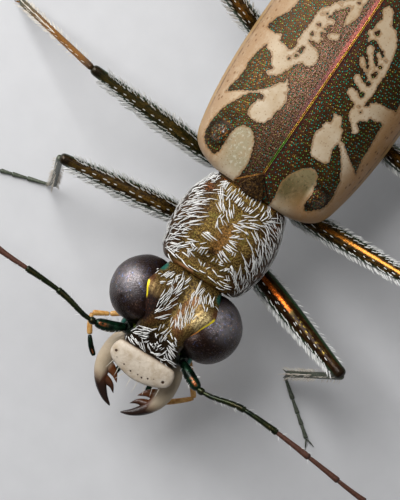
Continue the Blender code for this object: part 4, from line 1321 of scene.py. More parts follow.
feeler = {
    "scapeLeft": [(0.99, -1.17, 3.62), (1.36, -1.4, 3.8), (1.8, -1.62, 3.98)],
    "scapeRight": [(-0.99, -1.17, 3.62), (-1.38, -1.38, 3.8), (-1.84, -1.52, 3.98)],
    "scapeProfile": [
        (0, 0.07), (0.05, 0.11), (0.14, 0.14), (0.4, 0.185), (0.75, 0.19), (0.93, 0.15), (1, 0.09),
    ],
    "left": [
        (1.78, -1.62, 3.98), (2.26, -1.6, 4.1), (3.09, -1.42, 4.22), (4.23, -1.46, 4.32), (5.9, -1.64, 4.34),
        (7.58, -1.84, 4.28), (9.4, -1.88, 4.12), (11.0, -1.66, 3.86),
    ],
    "right": [
        (-1.82, -1.52, 3.98), (-2.26, -1.5, 4.1), (-3.02, -1.3, 4.22), (-3.92, -1.22, 4.32),
        (-5.32, -1.16, 4.36), (-7.1, -0.92, 4.3), (-8.9, -0.38, 4.12), (-10.5, 0.42, 3.86),
    ],
    "lengths": [0.22, 1.35, 1.15, 1.2, 1.1, 1.0, 0.95, 0.85, 0.75, 0.8],
    "greenSegments": 3,  # the first ones after the scape are dark green
    "profile": [
        (-0.03, 0.05), (0, 0.075), (0.1, 0.082), (0.6, 0.092), (0.88, 0.108), (0.97, 0.118), (1, 0.095),
        (1.01, 0.05),
    ],
    "pedicelProfile": [(-0.1, 0.06), (0.15, 0.11), (0.6, 0.13), (0.95, 0.11), (1.05, 0.06)],
}


def feelerFinish():
    finish = Finish("feelerBrown", roughness=0.5, specular=0.3)
    place = finish.place()
    share = split(finish.drawn("round", out=1))[2]
    fine = noise(place, 18.0, 3.0)
    finish.paint(blend((0.05, 0.017, 0.009), (0.095, 0.036, 0.021), fade(fine, 0.3, 0.7)))
    finish.paint((0.035, 0.016, 0.012), fade(share, 0.88, 1.0) * 0.8)
    finish.relief(fine, 0.008)
    return finish.made()


feelerMaterial = feelerFinish()
for name in bothSides:
    path = smoothPath(feeler["scape" + name.title()])
    scape = growBent("scape_" + name, path, feeler["scapeProfile"], sides=16, levels=2)
    settlePiece(placed(scape, headPlace), greenMaterial, ["antenna_scape_" + name])
    shares = np.cumsum([0.0, *feeler["lengths"]])
    parts = cutPath(smoothPath(feeler[name]), shares)
    segments = []
    for k, part in enumerate(parts):
        profile = slimmed(feeler["profile"], 1 - 0.045 * max(0, k - 2)) if k else feeler["pedicelProfile"]
        segments.append(growBent("feelerSegment", part, profile, sides=10))
    green = joinPieces(segments[:feeler["greenSegments"]], "feelerGreen_" + name)
    brown = joinPieces(segments[feeler["greenSegments"]:], "feelerBrown_" + name)
    settlePiece(placed(green, headPlace), feelerGreen)
    settlePiece(placed(brown, headPlace), feelerMaterial, ["antenna_" + name])
print("feelers made")


# Legs

legs = {  # hip, joint, knee, ankle, toe
    "fore_left": [
        (0.62, -1.98, 2.28), (1.06, -2.34, 2.02), (5.32, -3.59, 3.9), (4.03, -4.47, 0.85), (5.62, -5.78, 0),
    ],
    "fore_right": [
        (-0.58, -1.92, 2.28), (-1.02, -2.26, 2.02), (-5.21, -2.97, 4.02), (-5.02, -3.74, 0.85),
        (-7.02, -4.46, 0),
    ],
    "mid_left": [
        (0.66, -0.02, 2.04), (1.1, -0.36, 1.8), (5.95, -0.08, 4.35), (8.72, 1.04, 0.72), (11.1, 2.1, 0),
    ],
    "mid_right": [
        (-0.66, -0.02, 2.04), (-1.1, -0.4, 1.8), (-5.91, -0.27, 4.35), (-8.92, 0.24, 0.72), (-11.5, 0.86, 0),
    ],
    "hind_left": [(0.66, 2.62, 2.04), (1.2, 2.86, 1.7), (6.4, 2.3, 4.8), (8.5, 5.86, 0.72), (10.6, 9.46, 0)],
    "hind_right": [
        (-0.66, 2.66, 2.04), (-1.18, 3.1, 1.7), (-6.3, 4.62, 4.8), (-8.26, 8.3, 0.72), (-10.0, 12.0, 0),
    ],
}

leg = {
    "femur": [
        (0, 0.12), (0.012, 0.18, 0.19), (0.05, 0.26, 0.27), (0.16, 0.325, 0.33), (0.35, 0.335), (0.6, 0.285),
        (0.8, 0.225), (0.92, 0.195), (0.97, 0.2, 0.195), (0.99, 0.17), (1, 0.09),
    ],
    "tibia": [
        (0, 0.07), (0.01, 0.11), (0.05, 0.118), (0.5, 0.105), (0.9, 0.112), (0.985, 0.135), (1, 0.09),
    ],
    "foot": [
        (0, 0.035), (0.04, 0.05), (0.4, 0.055, 0.052), (0.85, 0.072, 0.062), (0.97, 0.078, 0.064), (1, 0.045),
    ],
    "coxa": [
        (0, 0.24), (0.1, 0.34, 0.32), (0.45, 0.36, 0.34), (0.8, 0.28, 0.27), (0.95, 0.2), (1, 0.1),
    ],
    "trochanter": [(0, 0.1), (0.15, 0.17), (0.6, 0.2, 0.19), (0.9, 0.15), (1, 0.08)],
    "girth": {"fore_left": 1.06, "fore_right": 0.95, "mid_left": 0.94, "mid_right": 0.88},  # of the thighs
    "bow": 0.06,
    "spur": 0.34,
    "spurProfile": [(0, 0.04), (0.5, 0.028), (1, 0.006)],
    "claw": 0.36,
    "clawProfile": [(0, 0.032), (0.4, 0.026), (0.8, 0.014), (1, 0.004)],
    "clawSpread": 26.0,
    "footShares": [0.4, 0.62, 0.79, 1.0],  # where the foot's joints lie past its heel
}


def thighProfile(name):
    return slimmed(leg["femur"], leg["girth"].get(name, 0.92))


def growFemur(name, joint, knee):
    middle = (joint + knee) / 2 + Vector((0, 0, leg["bow"]))
    path = smoothPath([joint, middle, knee])
    return growBent("femurPiece_" + name, path, thighProfile(name), sides=14, levels=2)


def growTibia(name, knee, ankle):
    along = (ankle - knee).normalized()
    parts = [growSegment("shin", knee + along * 0.02, ankle, leg["tibia"])]
    across = along.cross(Vector((0, 0, 1))).normalized()
    for side in (-1, 1):
        tip = ankle + (along + across * side * 0.42) * leg["spur"]
        parts.append(growSegment("spur", ankle - along * 0.06, tip, leg["spurProfile"], sides=8))
    return joinPieces(parts, "tibiaPiece_" + name)


def growFoot(name, knee, ankle, toe):
    along = (ankle - knee).normalized()
    drop = (ankle.z - 0.16) / -along.z
    heel = ankle + Vector((along.x * 0.3, along.y * 0.3, along.z)) * drop
    onward = (Vector((toe.x, toe.y, 0)) - Vector((heel.x, heel.y, 0)))
    joints = [ankle + along * 0.02, heel + onward * 0.1 - Vector((0, 0, 0.03))]
    for share in leg["footShares"]:
        spot = heel + onward * share
        joints.append(Vector((spot.x, spot.y, 0.075)))
    parts = [growSegment("footSegment", a, b, leg["foot"], sides=10) for a, b in zip(joints, joints[1:])]
    forward = onward.normalized()
    for side in (-1, 1):
        turn = Matrix.Rotation(math.radians(side * leg["clawSpread"]), 3, "Z")
        aim = turn @ forward
        path = [
            joints[-1], joints[-1] + aim * leg["claw"] * 0.5 + Vector((0, 0, 0.02)),
            joints[-1] + (aim * 0.9 + forward * 0.1) * leg["claw"] - Vector((0, 0, 0.055)),
        ]
        parts.append(growBent("claw", smoothPath(path, 5), leg["clawProfile"], sides=8))
    return joinPieces(parts, "footPiece_" + name)


def growHip(name, hip, joint, knee):
    along = (joint - hip).normalized()
    root = hip - along * 0.15 + Vector((0, 0, 0.25))
    parts = [growSegment("hip", root, joint + along * 0.02, leg["coxa"], sides=14)]
    outward = (knee - joint).normalized()
    start, end = joint - along * 0.1, joint + outward * 0.34
    parts.append(growSegment("trochanter", start, end, leg["trochanter"]))
    return joinPieces(parts, "hipPiece_" + name)


# lit along its crest between two shares of its length
def legFinish(name, lit, copper, low, high, verdant=0.0, ruddy=0.0):
    finish = Finish(name, roughness=0.24, coat=0.12 - ruddy * 0.12, specular=0.25 - ruddy * 0.2)
    place = finish.place()
    side, up, share = split(finish.drawn("round", out=1))
    broad = noise(place, 1.6, 2.0)
    fine = noise(place, 12.0, 3.0, 0.6)
    streaks = noise(joined(side * 4, up * 4, share * 30), 1.0, 3.0)
    brown = ramp(streaks, [
        (0.35, (0.012, 0.006, 0.002)), (0.5, (0.045, 0.024, 0.006)), (0.7, (0.15, 0.085, 0.018)),
    ])
    edge = fade(abs(side), 0.6, 0.86)
    green = blend((0.005, 0.02, 0.007), (0.018, 0.062, 0.018), fine)
    brown = blend(blend(brown, green, verdant), (0.012, 0.003, 0.001), ruddy)
    finish.paint(blend(brown, green, greater(edge, fall(share, 0.0, 0.08)) * 0.9))
    crest = fade(up - abs(side + 0.16) * 0.6 + (fine - 0.5) * 0.25, 0.8, 0.96)
    along = fade(share, low, low + 0.12) * fall(share, high - 0.15, high)
    faint = fade(streaks, 0.5, 0.62) * fall(share, 0.85, 0.93) * (0.35 + ruddy * 0.4)
    crest = crest * greater(along, faint)
    # painted highlight: the crest colour, from gold to the leg's copper tone
    tone = blend((0.34, 0.24, 0.04), copper, fade(broad * 0.6 + along * 0.5, 0.38, 0.62))
    finish.paint(tone, crest * lit)
    finish.paint((0.016, 0.01, 0.005), fade(share, 0.93, 0.97) * 0.8)
    finish.set("Metallic", 0.5 - ruddy * 0.4 + crest * (0.4 + ruddy * 0.4))
    finish.set("Roughness", 0.25 + (fine - 0.5) * 0.2)
    finish.relief(fine * 0.6 + streaks * 0.4, 0.014)
    return finish.made()


def shinFinish(name, dark):
    finish = Finish(name, roughness=0.36, specular=0.15)
    place = finish.place()
    share = split(finish.drawn("round", out=1))[2]
    fine = noise(place, 18.0, 3.0, 0.6)
    amber = blend((0.21, 0.085, 0.01), (0.1, 0.038, 0.006), fade(fine, 0.35, 0.7))
    amber = blend((0.05, 0.025, 0.01), amber, fade(share, 0.0, 0.16))
    grey = blend((0.055, 0.065, 0.045), (0.12, 0.13, 0.1), fade(fine, 0.35, 0.7))
    finish.paint(grey if dark else blend(amber, grey, fade(share, 0.55, 0.95) * 0.75))
    finish.paint((0.02, 0.035, 0.02), fade(share, 0.93, 1.0) * 0.8)
    finish.set("Metallic", 0.2 + share * 0.1)
    finish.relief(fine, 0.008)
    return finish.made()


plainLeg = legFinish("legBronze", 0.6, (0.34, 0.18, 0.035), 0.15, 0.96)
litLegs = {
    "mid_right": legFinish("legGreen", 0.6, (0.22, 0.14, 0.03), 0.05, 0.95, 0.3),
    "fore_left": legFinish("legCopperHighlight", 0.9, (0.95, 0.2, 0.025), -0.05, 0.54, ruddy=0.75),
    "mid_left": legFinish("legGoldHighlight", 0.65, (0.55, 0.2, 0.025), 0.2, 1.0),
}
footMaterial = shinFinish("footCuticle", True)
amberShin = shinFinish("shinAmber", False)
for name, points in legs.items():
    hip, joint, knee, ankle, toe = [Vector(p) for p in points]
    femurLook = litLegs.get(name, plainLeg)
    settlePiece(growHip(name, hip, joint, knee), plainLeg, ["coxa_" + name])
    settlePiece(growFemur(name, joint, knee), femurLook, ["femur_" + name])
    shinLook = footMaterial if name.startswith("fore") else amberShin
    settlePiece(growTibia(name, knee, ankle), shinLook, ["tibia_" + name])
    settlePiece(growFoot(name, knee, ankle, toe), footMaterial, ["tarsus_" + name])
print("legs made")


# Bristles

bristle = {
    "profile": [(0, 0.3, 0.26), (0.14, 0.46, 0.38), (0.45, 0.5, 0.4), (0.75, 0.36, 0.28), (1, 0.05)],
    "lift": 0.035,
    "sunk": 0.012,  # how deep its root is in the skin
    "sparse": 0.45,  # share of the second copies of the drawn strokes left out
    "patch": 0.003,  # the size of each bristle's own patch in OFBake
    "seed": 11,
}

# Strokes of white bristles on the pronotum and the head, in their own frames and hundredths of a millimetre:
# the root's x and y, and how far the tip is from it.
strokes = {
    "pronotum": [
        (-143, -249, 24, 14), (-124, -249, 31, 14), (-147, -235, 19, 18), (-119, -235, 32, 14),
        (-97, -242, 20, 19), (-145, -219, 26, 13), (-119, -221, 28, 11), (-87, -227, 29, 25),
        (-151, -207, 21, 11), (-128, -212, 23, 14), (-105, -204, 18, 14), (-85, -210, 34, 9),
        (-151, -194, 23, 17), (-130, -198, 25, 17), (-110, -187, 23, 7), (-128, -185, 35, 35),
        (-108, -172, 31, 23), (-153, -181, 23, 19), (-149, -165, 21, 16), (-130, -152, 33, 17),
        (-105, -152, 37, 29), (-151, -148, 27, 19), (-128, -140, 31, 21), (-97, -135, 29, 18),
        (-153, -131, 29, 16), (-128, -123, 41, 25), (-105, -123, 43, 23), (-152, -117, 33, 21),
        (-155, -104, 27, 12), (-124, -104, 37, 11), (-154, -93, 17, 26), (-137, -85, 20, 23),
        (-108, -88, 15, 17), (-152, -79, 28, 16), (-151, -65, 14, 13), (-147, -52, 28, 18),
        (-143, -42, 19, 19), (-133, -31, 23, 29), (-119, -27, 14, 8), (-112, -15, 7, 13),
        (143, -249, -25, 22), (122, -254, -23, 19), (145, -235, -23, 27), (126, -238, -25, 23),
        (111, -242, -27, 19), (145, -215, -21, 30), (128, -219, -25, 27), (107, -215, -23, 23),
        (140, -188, -25, 23), (122, -200, -23, 12), (115, -185, -39, 23), (149, -181, -21, 27),
        (140, -169, -29, 27), (122, -165, -23, 23), (107, -152, -39, 26), (151, -158, -23, 27),
        (138, -146, -31, 29), (122, -142, -23, 22), (99, -135, -32, 17), (153, -135, -27, 22),
        (142, -123, -27, 19), (126, -123, -25, 19), (103, -112, -31, 20), (88, -98, -27, 17),
        (153, -112, -31, 12), (151, -100, -31, 21), (138, -94, -14, 17), (155, -85, -21, 18),
        (138, -67, -25, 5), (155, -65, -21, 7), (149, -50, -19, 19), (138, -42, -16, 19), (128, -23, -21, 13),
        (88, -27, 24, 16), (80, -42, 21, 19), (-105, -252, 23, 3), (-82, -246, 24, -3), (-51, -249, -15, 14),
        (-35, -246, -23, 8), (-20, -249, -12, 14), (-7, -250, -5, 12), (7, -249, 10, 11), (26, -240, 23, -9),
        (45, -249, 20, 11), (65, -249, 15, 9), (88, -249, -16, 14), (-66, -235, 11, 12), (-72, -227, 19, 10),
        (-55, -231, 3, 19), (-45, -228, 3, 21), (-37, -227, 1, 19), (-28, -223, -4, 21), (-22, -215, -1, 13),
        (-12, -217, 4, 11), (7, -227, 2, 12), (18, -221, -1, 13), (32, -223, -6, 11), (30, -217, 17, 6),
        (42, -235, 7, 16), (55, -227, 12, 12), (65, -231, -4, 16), (30, -202, 19, -4), (15, -192, 19, -10),
        (61, -204, 15, -8), (72, -219, 16, -4), (-49, -198, 14, 13), (-39, -204, 23, 16), (-74, -212, 23, -5),
        (-62, -170, 34, -1), (-55, -165, 39, -3), (-51, -161, 19, -1), (-49, -154, 14, -1),
        (18, -168, 31, -7), (24, -165, 30, -4), (26, -153, 35, -3), (55, -181, -4, 14), (15, -182, 40, -10),
        (-8, -142, -24, 10), (-32, -133, -11, 22), (-16, -123, -19, 16), (-8, -108, -20, 10),
        (-39, -108, 2, 14), (20, -140, 31, 14), (15, -132, 8, 13), (32, -127, 15, 12), (10, -119, 16, 15),
        (26, -112, 12, 12), (7, -100, 35, 2), (45, -98, 12, -4), (20, -146, 22, 4), (-43, -88, -23, 15),
        (-51, -81, -26, 18), (-58, -73, -24, 27), (-32, -85, -23, 20), (-20, -88, -15, 19),
        (-8, -87, -20, 22), (-10, -77, -18, 21), (-35, -65, -16, 19), (-55, -62, -25, 43), (7, -90, 23, 15),
        (11, -81, 19, 18), (26, -88, 29, 7), (30, -83, 37, 18), (45, -81, 31, 8), (18, -65, 27, 11),
        (49, -65, 33, 2), (55, -60, 33, 8), (72, -54, 27, 8), (34, -62, 19, 16), (-53, -46, 2, 28),
        (-43, -46, -4, 27), (-38, -42, 6, 30), (-28, -46, -2, 23), (-22, -38, 6, 23), (-14, -46, 0, 23),
        (-7, -46, 2, 19), (1, -46, 3, 11), (15, -46, 0, 15), (11, -15, 2, 15), (20, -23, -2, 19),
        (26, -46, 8, 15), (32, -31, 5, 16), (42, -46, 7, 19), (34, -15, -4, 19), (49, -27, -4, 23),
        (61, -42, -2, 30), (67, -42, 3, 19), (70, -23, -5, 23), (80, -35, 2, 20), (76, -12, -15, 16),
        (65, 4, -23, 13), (-66, -27, 4, 27), (-76, -23, -4, 19), (-82, -12, 10, 27), (-97, -23, 2, 44),
        (-51, -4, 12, 19), (-51, -19, 4, 15), (-39, -12, 4, 20), (-28, -15, 0, 19), (1, -12, 1, 10),
        (-8, -15, -2, 13), (-20, -12, 0, 12), (-133, -277, 28, -2), (-128, -285, 35, -2),
        (-116, -267, 31, -10), (-97, -273, 25, -8), (-124, -260, 31, -2), (-93, -260, 27, -5),
        (-74, -263, 31, -4), (-39, -267, 34, 2), (-5, -263, 23, 0), (26, -265, 31, -3), (57, -265, 27, -2),
        (84, -267, 19, 7), (61, -279, 27, 10), (76, -288, 25, 17), (95, -285, 23, 6), (111, -292, 21, 11),
        (118, -277, 20, -2), (115, -267, 27, -6),
    ],
    "head": [
        (-40, -45, 17, 19), (-33, -41, 18, 23), (-27, -43, 19, 23), (-21, -26, 15, 16), (-50, -33, 6, 19),
        (-44, -26, 15, 25), (-50, -18, -2, 21), (-38, -18, 17, 21), (-27, -10, 12, 21), (-52, -5, -2, 20),
        (-46, -5, 6, 25), (-33, -5, 4, 25), (-56, 11, 0, 25), (-19, 7, 9, 19), (-42, 15, 2, 25),
        (-27, 15, 8, 25), (-35, 28, -5, 25), (-50, 20, -2, 25), (-29, 36, 2, 25), (-40, 40, -4, 25),
        (-21, 40, 11, 23), (-33, 53, -7, 25), (-25, 57, 4, 25), (-46, 61, -6, 25), (-15, 70, 3, 20),
        (-35, 74, 4, 25), (-27, 78, -6, 27), (-44, 78, -8, 25), (-19, 82, 7, 21), (-50, 82, 10, 13),
        (-81, 49, 12, 6), (-94, 63, 13, 19), (-85, 68, 12, 20), (-75, 72, 10, 23), (-100, 72, 8, 4),
        (-65, 65, 9, 17), (-65, 78, 7, 19), (-60, 53, 8, 17), (-110, 68, 8, 10), (40, -41, -13, 19),
        (33, -35, -14, 21), (46, -33, -13, 19), (27, -39, -15, 34), (40, -18, -9, 21), (48, -26, -8, 25),
        (27, -10, -10, 19), (54, -14, -4, 21), (38, -5, -11, 25), (46, -1, -6, 25), (54, 7, 4, 21),
        (31, 11, -8, 21), (10, 11, -4, 15), (40, 20, -5, 20), (48, 20, 0, 20), (31, 32, -4, 25),
        (38, 40, -5, 25), (46, 36, -4, 25), (27, 49, -8, 21), (33, 57, -6, 25), (40, 61, 0, 25),
        (50, 53, -6, 21), (27, 70, -4, 25), (33, 78, 2, 25), (25, 82, 0, 31), (40, 82, 0, 25),
        (19, 61, 2, 21), (65, 53, -13, 17), (60, 61, -14, 21), (69, 70, -13, 16), (56, 78, -2, 21),
        (77, 45, -4, 10), (85, 68, -12, 14), (106, 63, -23, 9), (73, 74, -13, 25), (79, 82, -4, 17),
    ],
    "frons": [
        (-78, -117, 13, 18), (-75, -118, 20, 20), (-73, -109, 11, 20), (-72, -93, 18, 9), (-64, -91, 21, 9),
        (-54, -87, 23, 10), (-70, -103, 24, 14), (-58, -96, 25, 10), (-43, -89, 13, 4), (-31, -87, 8, 16),
        (-36, -88, 12, 15), (-68, -116, 24, 14), (-52, -106, 18, 15), (-43, -104, 12, 12),
        (-66, -120, 13, 10), (-59, -122, 17, 17), (-44, -112, 18, 11), (-37, -110, 10, 12),
        (-50, -121, 18, 8), (-41, -120, 14, 12), (-71, -131, 21, -5), (-71, -127, 24, -5),
        (-64, -129, 24, -6), (-54, -136, 21, -6), (-53, -131, 21, -7), (-70, -144, 14, -7),
        (-69, -138, 18, -6), (-40, -135, 19, -15), (-40, -131, 20, -11), (-31, -137, 25, -12),
        (-29, -143, 18, -4), (-31, -129, 23, -13), (-38, -122, 13, -11), (-26, -126, 5, 14),
        (-30, -125, 8, 12), (-45, -138, 20, -7), (-97, -139, 9, -8), (-94, -133, 13, -15),
        (-87, -133, 16, -13), (-80, -137, 20, -12), (-103, -135, 9, -8), (-18, -123, 10, -10),
        (-9, -131, 11, -5), (-15, -127, 14, -7), (-14, -119, 13, -7), (-8, -121, 3, 8), (-1, -126, 1, 8),
        (-3, -112, 10, -2), (1, -117, 4, 13), (2, -105, 9, -2), (6, -130, 1, 10), (13, -129, 0, 12),
        (9, -120, 6, 12), (12, -112, 6, 11), (18, -119, 6, 12), (24, -122, 4, 12), (10, -102, -1, 13),
        (13, -102, 5, 20), (3, -139, 11, 8), (4, -143, 15, 10), (10, -143, 15, 12), (15, -142, 14, 15),
        (9, -151, 21, 13), (20, -140, 13, 15), (26, -144, 23, 12), (29, -137, 9, 20), (35, -131, 3, 17),
        (41, -128, 9, -3), (42, -123, 14, -8), (-11, -99, 3, 16), (-17, -84, 9, -8), (-11, -72, -5, 17),
        (-6, -62, -5, 16), (-3, -81, 9, 16), (3, -82, 8, 24), (9, -86, 8, 34), (14, -54, -2, 22),
        (14, -48, 0, 19), (8, -38, -2, 18), (19, -96, 2, 25), (20, -91, 1, 17), (8, -94, -3, 15),
        (25, -63, 11, -8), (28, -66, 13, -6), (37, -66, 14, -7), (43, -72, 12, -10), (26, -85, 23, -3),
        (33, -86, 23, -5), (41, -87, 21, -4), (43, -84, 20, -3), (51, -91, 15, -6), (29, -96, 27, -3),
        (36, -98, 30, -6), (42, -100, 31, -8), (51, -98, 16, -2), (36, -104, 21, -10), (42, -105, 23, -12),
        (57, -110, 16, -7), (54, -119, 15, -5), (44, -114, 21, -12), (36, -115, 14, -7), (36, -146, 16, 8),
        (38, -146, 15, -2), (41, -137, 23, 5), (51, -138, 22, 5), (59, -136, 22, 2), (65, -133, 23, 0),
        (53, -148, 17, 0), (64, -153, 14, 8), (66, -154, 14, 16), (78, -157, 7, 16), (83, -157, 6, 17),
        (91, -154, 5, 17), (95, -150, 4, 11), (77, -140, 13, 1), (78, -135, 18, -1), (44, -149, 16, -1),
        (19, -26, 12, -14), (14, -6, 15, -15), (26, -21, 14, -19),
    ],
}

chance = np.random.default_rng(bristle["seed"])
oneBristle = growStalk("bristle", 1.0, bristle["profile"], sides=4, levels=0)
bristlePlaces = vertexPlaces(oneBristle)
bristleFaces = [tuple(face.vertices) for face in oneBristle.data.polygons]
bpy.data.objects.remove(oneBristle)


def unit(vectors):
    return vectors / np.maximum(np.linalg.norm(vectors, axis=-1, keepdims=True), 1e-9)


# One mesh of many bristles, each (root, middle, tip, up, width, place on the unrolled skin). A bristle bends
# from its root by its middle to its tip, and has its own patch in OFBake at its place.
def growBristles(name, bristles):
    roots, middles, tips, ups, widths, unrolled = [np.array(values, dtype=float) for values in zip(*bristles)]
    count, corners = len(roots), len(bristlePlaces)
    share = bristlePlaces[None, :, 2:]
    spine = (1 - share) ** 2 * roots[:, None] + 2 * share * (1 - share) * middles[:, None]
    spine += share ** 2 * tips[:, None]
    across = unit(np.cross(unit(tips - roots), ups))
    over = np.cross(across, unit(tips - roots))
    girth = across[:, None] * bristlePlaces[None, :, :1] + over[:, None] * bristlePlaces[None, :, 1:2]
    places = spine + girth * widths[:, None, None]
    faces = [tuple(k * corners + v for v in face) for k in range(count) for face in bristleFaces]
    mesh = bpy.data.meshes.new(name)
    mesh.from_pydata(places.reshape(-1, 3).tolist(), [], faces)
    piece = bpy.data.objects.new(name, mesh)
    bpy.context.collection.objects.link(piece)
    writeNumbers(piece, "tone", np.repeat(chance.random(count), corners))
    patch = np.stack([bristlePlaces[:, 0] * 0.8 + 0.5, bristlePlaces[:, 2]], axis=1) * bristle["patch"]
    local = np.concatenate([patch[list(face)] for face in bristleFaces])
    low, high = unrolled.min(axis=0), unrolled.max(axis=0)
    spots = 0.01 + 0.97 * (unrolled - low) / np.maximum(high - low, 1e-6)
    layer = mesh.uv_layers.new(name="OFBake")
    layer.uv.foreach_set("vector", (spots[:, None] + local[None]).astype(np.float32).ravel())
    faceOut(piece)
    return piece


def skinOf(piece):  # a settled piece's surface, back in millimetres
    corners = [(v.co - standing) / millimetre for v in piece.data.vertices]
    return BVHTree.FromPolygons(corners, [tuple(face.vertices) for face in piece.data.polygons])


def unroll(point, middle):  # a body skin unrolled: the angle round it, and y
    return (math.atan2(point[0] - middle[0], point[2] - middle[1]), point[1] * 0.8)


def combStrokes(name, skin, place, copies, spread, width):
    bristles = []
    for x, y, across, along in np.array(strokes[name]) / 100:
        start, stroke = Vector((x, y, 0)), Vector((across, along, 0))
        for copy in range(copies):
            if copy and chance.random() < bristle["sparse"]:
                continue
            along = Matrix.Rotation(chance.normal(0, 0.1), 3, "Z") @ stroke
            beside = Vector((-along.y, along.x, 0)).normalized()
            shift = beside * ((copy - (copies - 1) / 2) * spread + chance.uniform(-0.25, 0.25) * spread)
            shift += along * chance.uniform(-0.25, 0.2)
            length = chance.uniform(0.85, 1.3)
            bend = beside * chance.uniform(-0.1, 0.1) * along.length
            hits = []
            for share, extra in ((0, Vector()), (0.5, bend), (1, Vector())):
                spot = place @ (start + shift + along * share * length + extra)
                hits.append(skin.ray_cast(Vector((spot.x, spot.y, 9)), Vector((0, 0, -1))))
            if any(hit[0] is None for hit in hits):
                continue
            (root, normal, *_), (middle, middleNormal, *_), (tip, tipNormal, *_) = hits
            if abs(root.z - tip.z) > 2 * along.length * length:
                continue
            lift = bristle["lift"] * chance.uniform(0.7, 1.4)
            bristles.append((
                root - normal * bristle["sunk"], middle + middleNormal * lift * 1.9, tip + tipNormal * lift,
                middleNormal, width * chance.uniform(0.75, 1.35), unroll(root, (0, 3.7)),
            ))
    return growBristles(name + "Bristles", bristles)


# Bristles spread over a band of a body.
def combBand(name, skin, side):
    count, ys, angles, middle, aim, lengths, width, lift = bands[name]
    low, high = sorted(bothSides[side] * angle for angle in angles)
    bristles = []
    for _ in range(count):
        angle = math.radians(chance.uniform(low, high))
        y = chance.uniform(*ys)
        outward = Vector((math.sin(angle), 0, math.cos(angle)))
        root, normal, *_ = skin.ray_cast(Vector((middle[0], y, middle[1])), outward)
        if root is None:
            continue
        normal = normal if normal.dot(outward) > 0 else -normal
        way = Vector((aim[0] * bothSides[side], *aim[1:])) + Vector(chance.uniform(-0.25, 0.25, 3))
        way = (way - normal * way.dot(normal)).normalized()
        length = chance.uniform(*lengths)
        bristles.append((
            root - normal * bristle["sunk"], root + way * length * 0.5 + normal * lift,
            skin.find_nearest(root + way * length)[0] + normal * lift * 0.8, normal,
            width * chance.uniform(0.8, 1.15), unroll(root, middle),
        ))
    return growBristles(name + "Bristles_" + side, bristles)


# Rows of bristles on a limb: each row is (angle round it with 0 up and 90 towards the head, from share,
# to share, count, shortest, longest, lean in degrees, width).
def combLimb(name, start, end, profile, rows, bow=0.0):
    along = (end - start).normalized()
    side = along.cross(Vector((0, 0, 1))).normalized()
    up = side.cross(along)
    front = side if side.y < 0 else -side
    profile = slimmed(profile, 1)
    bristles = []
    for angle, low, high, count, shortest, longest, lean, width in rows:
        for k in range(count):
            share = low + (high - low) * (k + chance.uniform(-0.6, 0.6)) / count
            turn = math.radians(angle + chance.uniform(-7, 7))
            forward, upward = front * math.sin(turn), up * math.cos(turn)
            outward = forward + upward
            reach = forward * column(profile, share, 1) + upward * column(profile, share, 2)
            root = start.lerp(end, share) + Vector((0, 0, bow * 4 * share * (1 - share))) + reach * 0.96
            tilt = math.radians(lean + chance.uniform(-6, 6))
            length = chance.uniform(shortest, longest)
            way = along * math.cos(tilt) + outward * math.sin(tilt)
            bristles.append((
                root, root + way * length * 0.5 + outward * length * 0.06, root + way * length,
                outward if abs(angle) < 45 else up, width * chance.uniform(0.8, 1.15), (turn, share * 4),
            ))
    return growBristles(name, bristles)


def bristleFinish(name, light, dark, roughness=0.42):
    finish = Finish(name, roughness=roughness, specular=0.4)
    tone = finish.drawn("tone")
    fine = noise(finish.place(), 9.0, 2.0)
    finish.paint(blend(light, dark, tone * 0.7 + fade(fine, 0.4, 0.8) * 0.3))
    return finish.made()


whiteBristle = bristleFinish("whiteBristle", (0.86, 0.86, 0.84), (0.58, 0.57, 0.54))
paleBristle = bristleFinish("paleBristle", (0.72, 0.68, 0.6), (0.46, 0.38, 0.28))

bands = {
    # count, two y, two angles round it from the top, its middle's x and z, aim, two lengths, width, lift
    "flank": (230, (-3.45, -0.85), (52, 118), (0.04, 3.7), (-0.25, 0.62, 0.75), (0.26, 0.42), 0.028, 0.06),
    "thorax": (420, (-0.45, 3.05), (92, 128), (0, 3.25), (0.2, 0.75, -0.45), (0.28, 0.46), 0.032, 0.06),
    "abdomen": (420, (3.25, 8.0), (92, 128), (0, 3.35), (0.1, 0.9, -0.3), (0.22, 0.36), 0.028, 0.04),
}
bodies = (pronotumPiece, capsule, thorax, abdomen)
pronotumSkin, headSkin, thoraxSkin, abdomenSkin = [skinOf(piece) for piece in bodies]
top = combStrokes("pronotum", pronotumSkin, pronotumPlace, 2, 0.068, 0.028)
settlePiece(top, whiteBristle)
for side in bothSides:
    settlePiece(combBand("flank", pronotumSkin, side), whiteBristle)
for name, copies, spread, width in (("head", 2, 0.052, 0.026), ("frons", 1, 0.02, 0.03)):
    settlePiece(combStrokes(name, headSkin, headPlace, copies, spread, width), whiteBristle)
for side in bothSides:
    for name, skin in (("thorax", thoraxSkin), ("abdomen", abdomenSkin)):
        settlePiece(combBand(name, skin, side), whiteBristle)

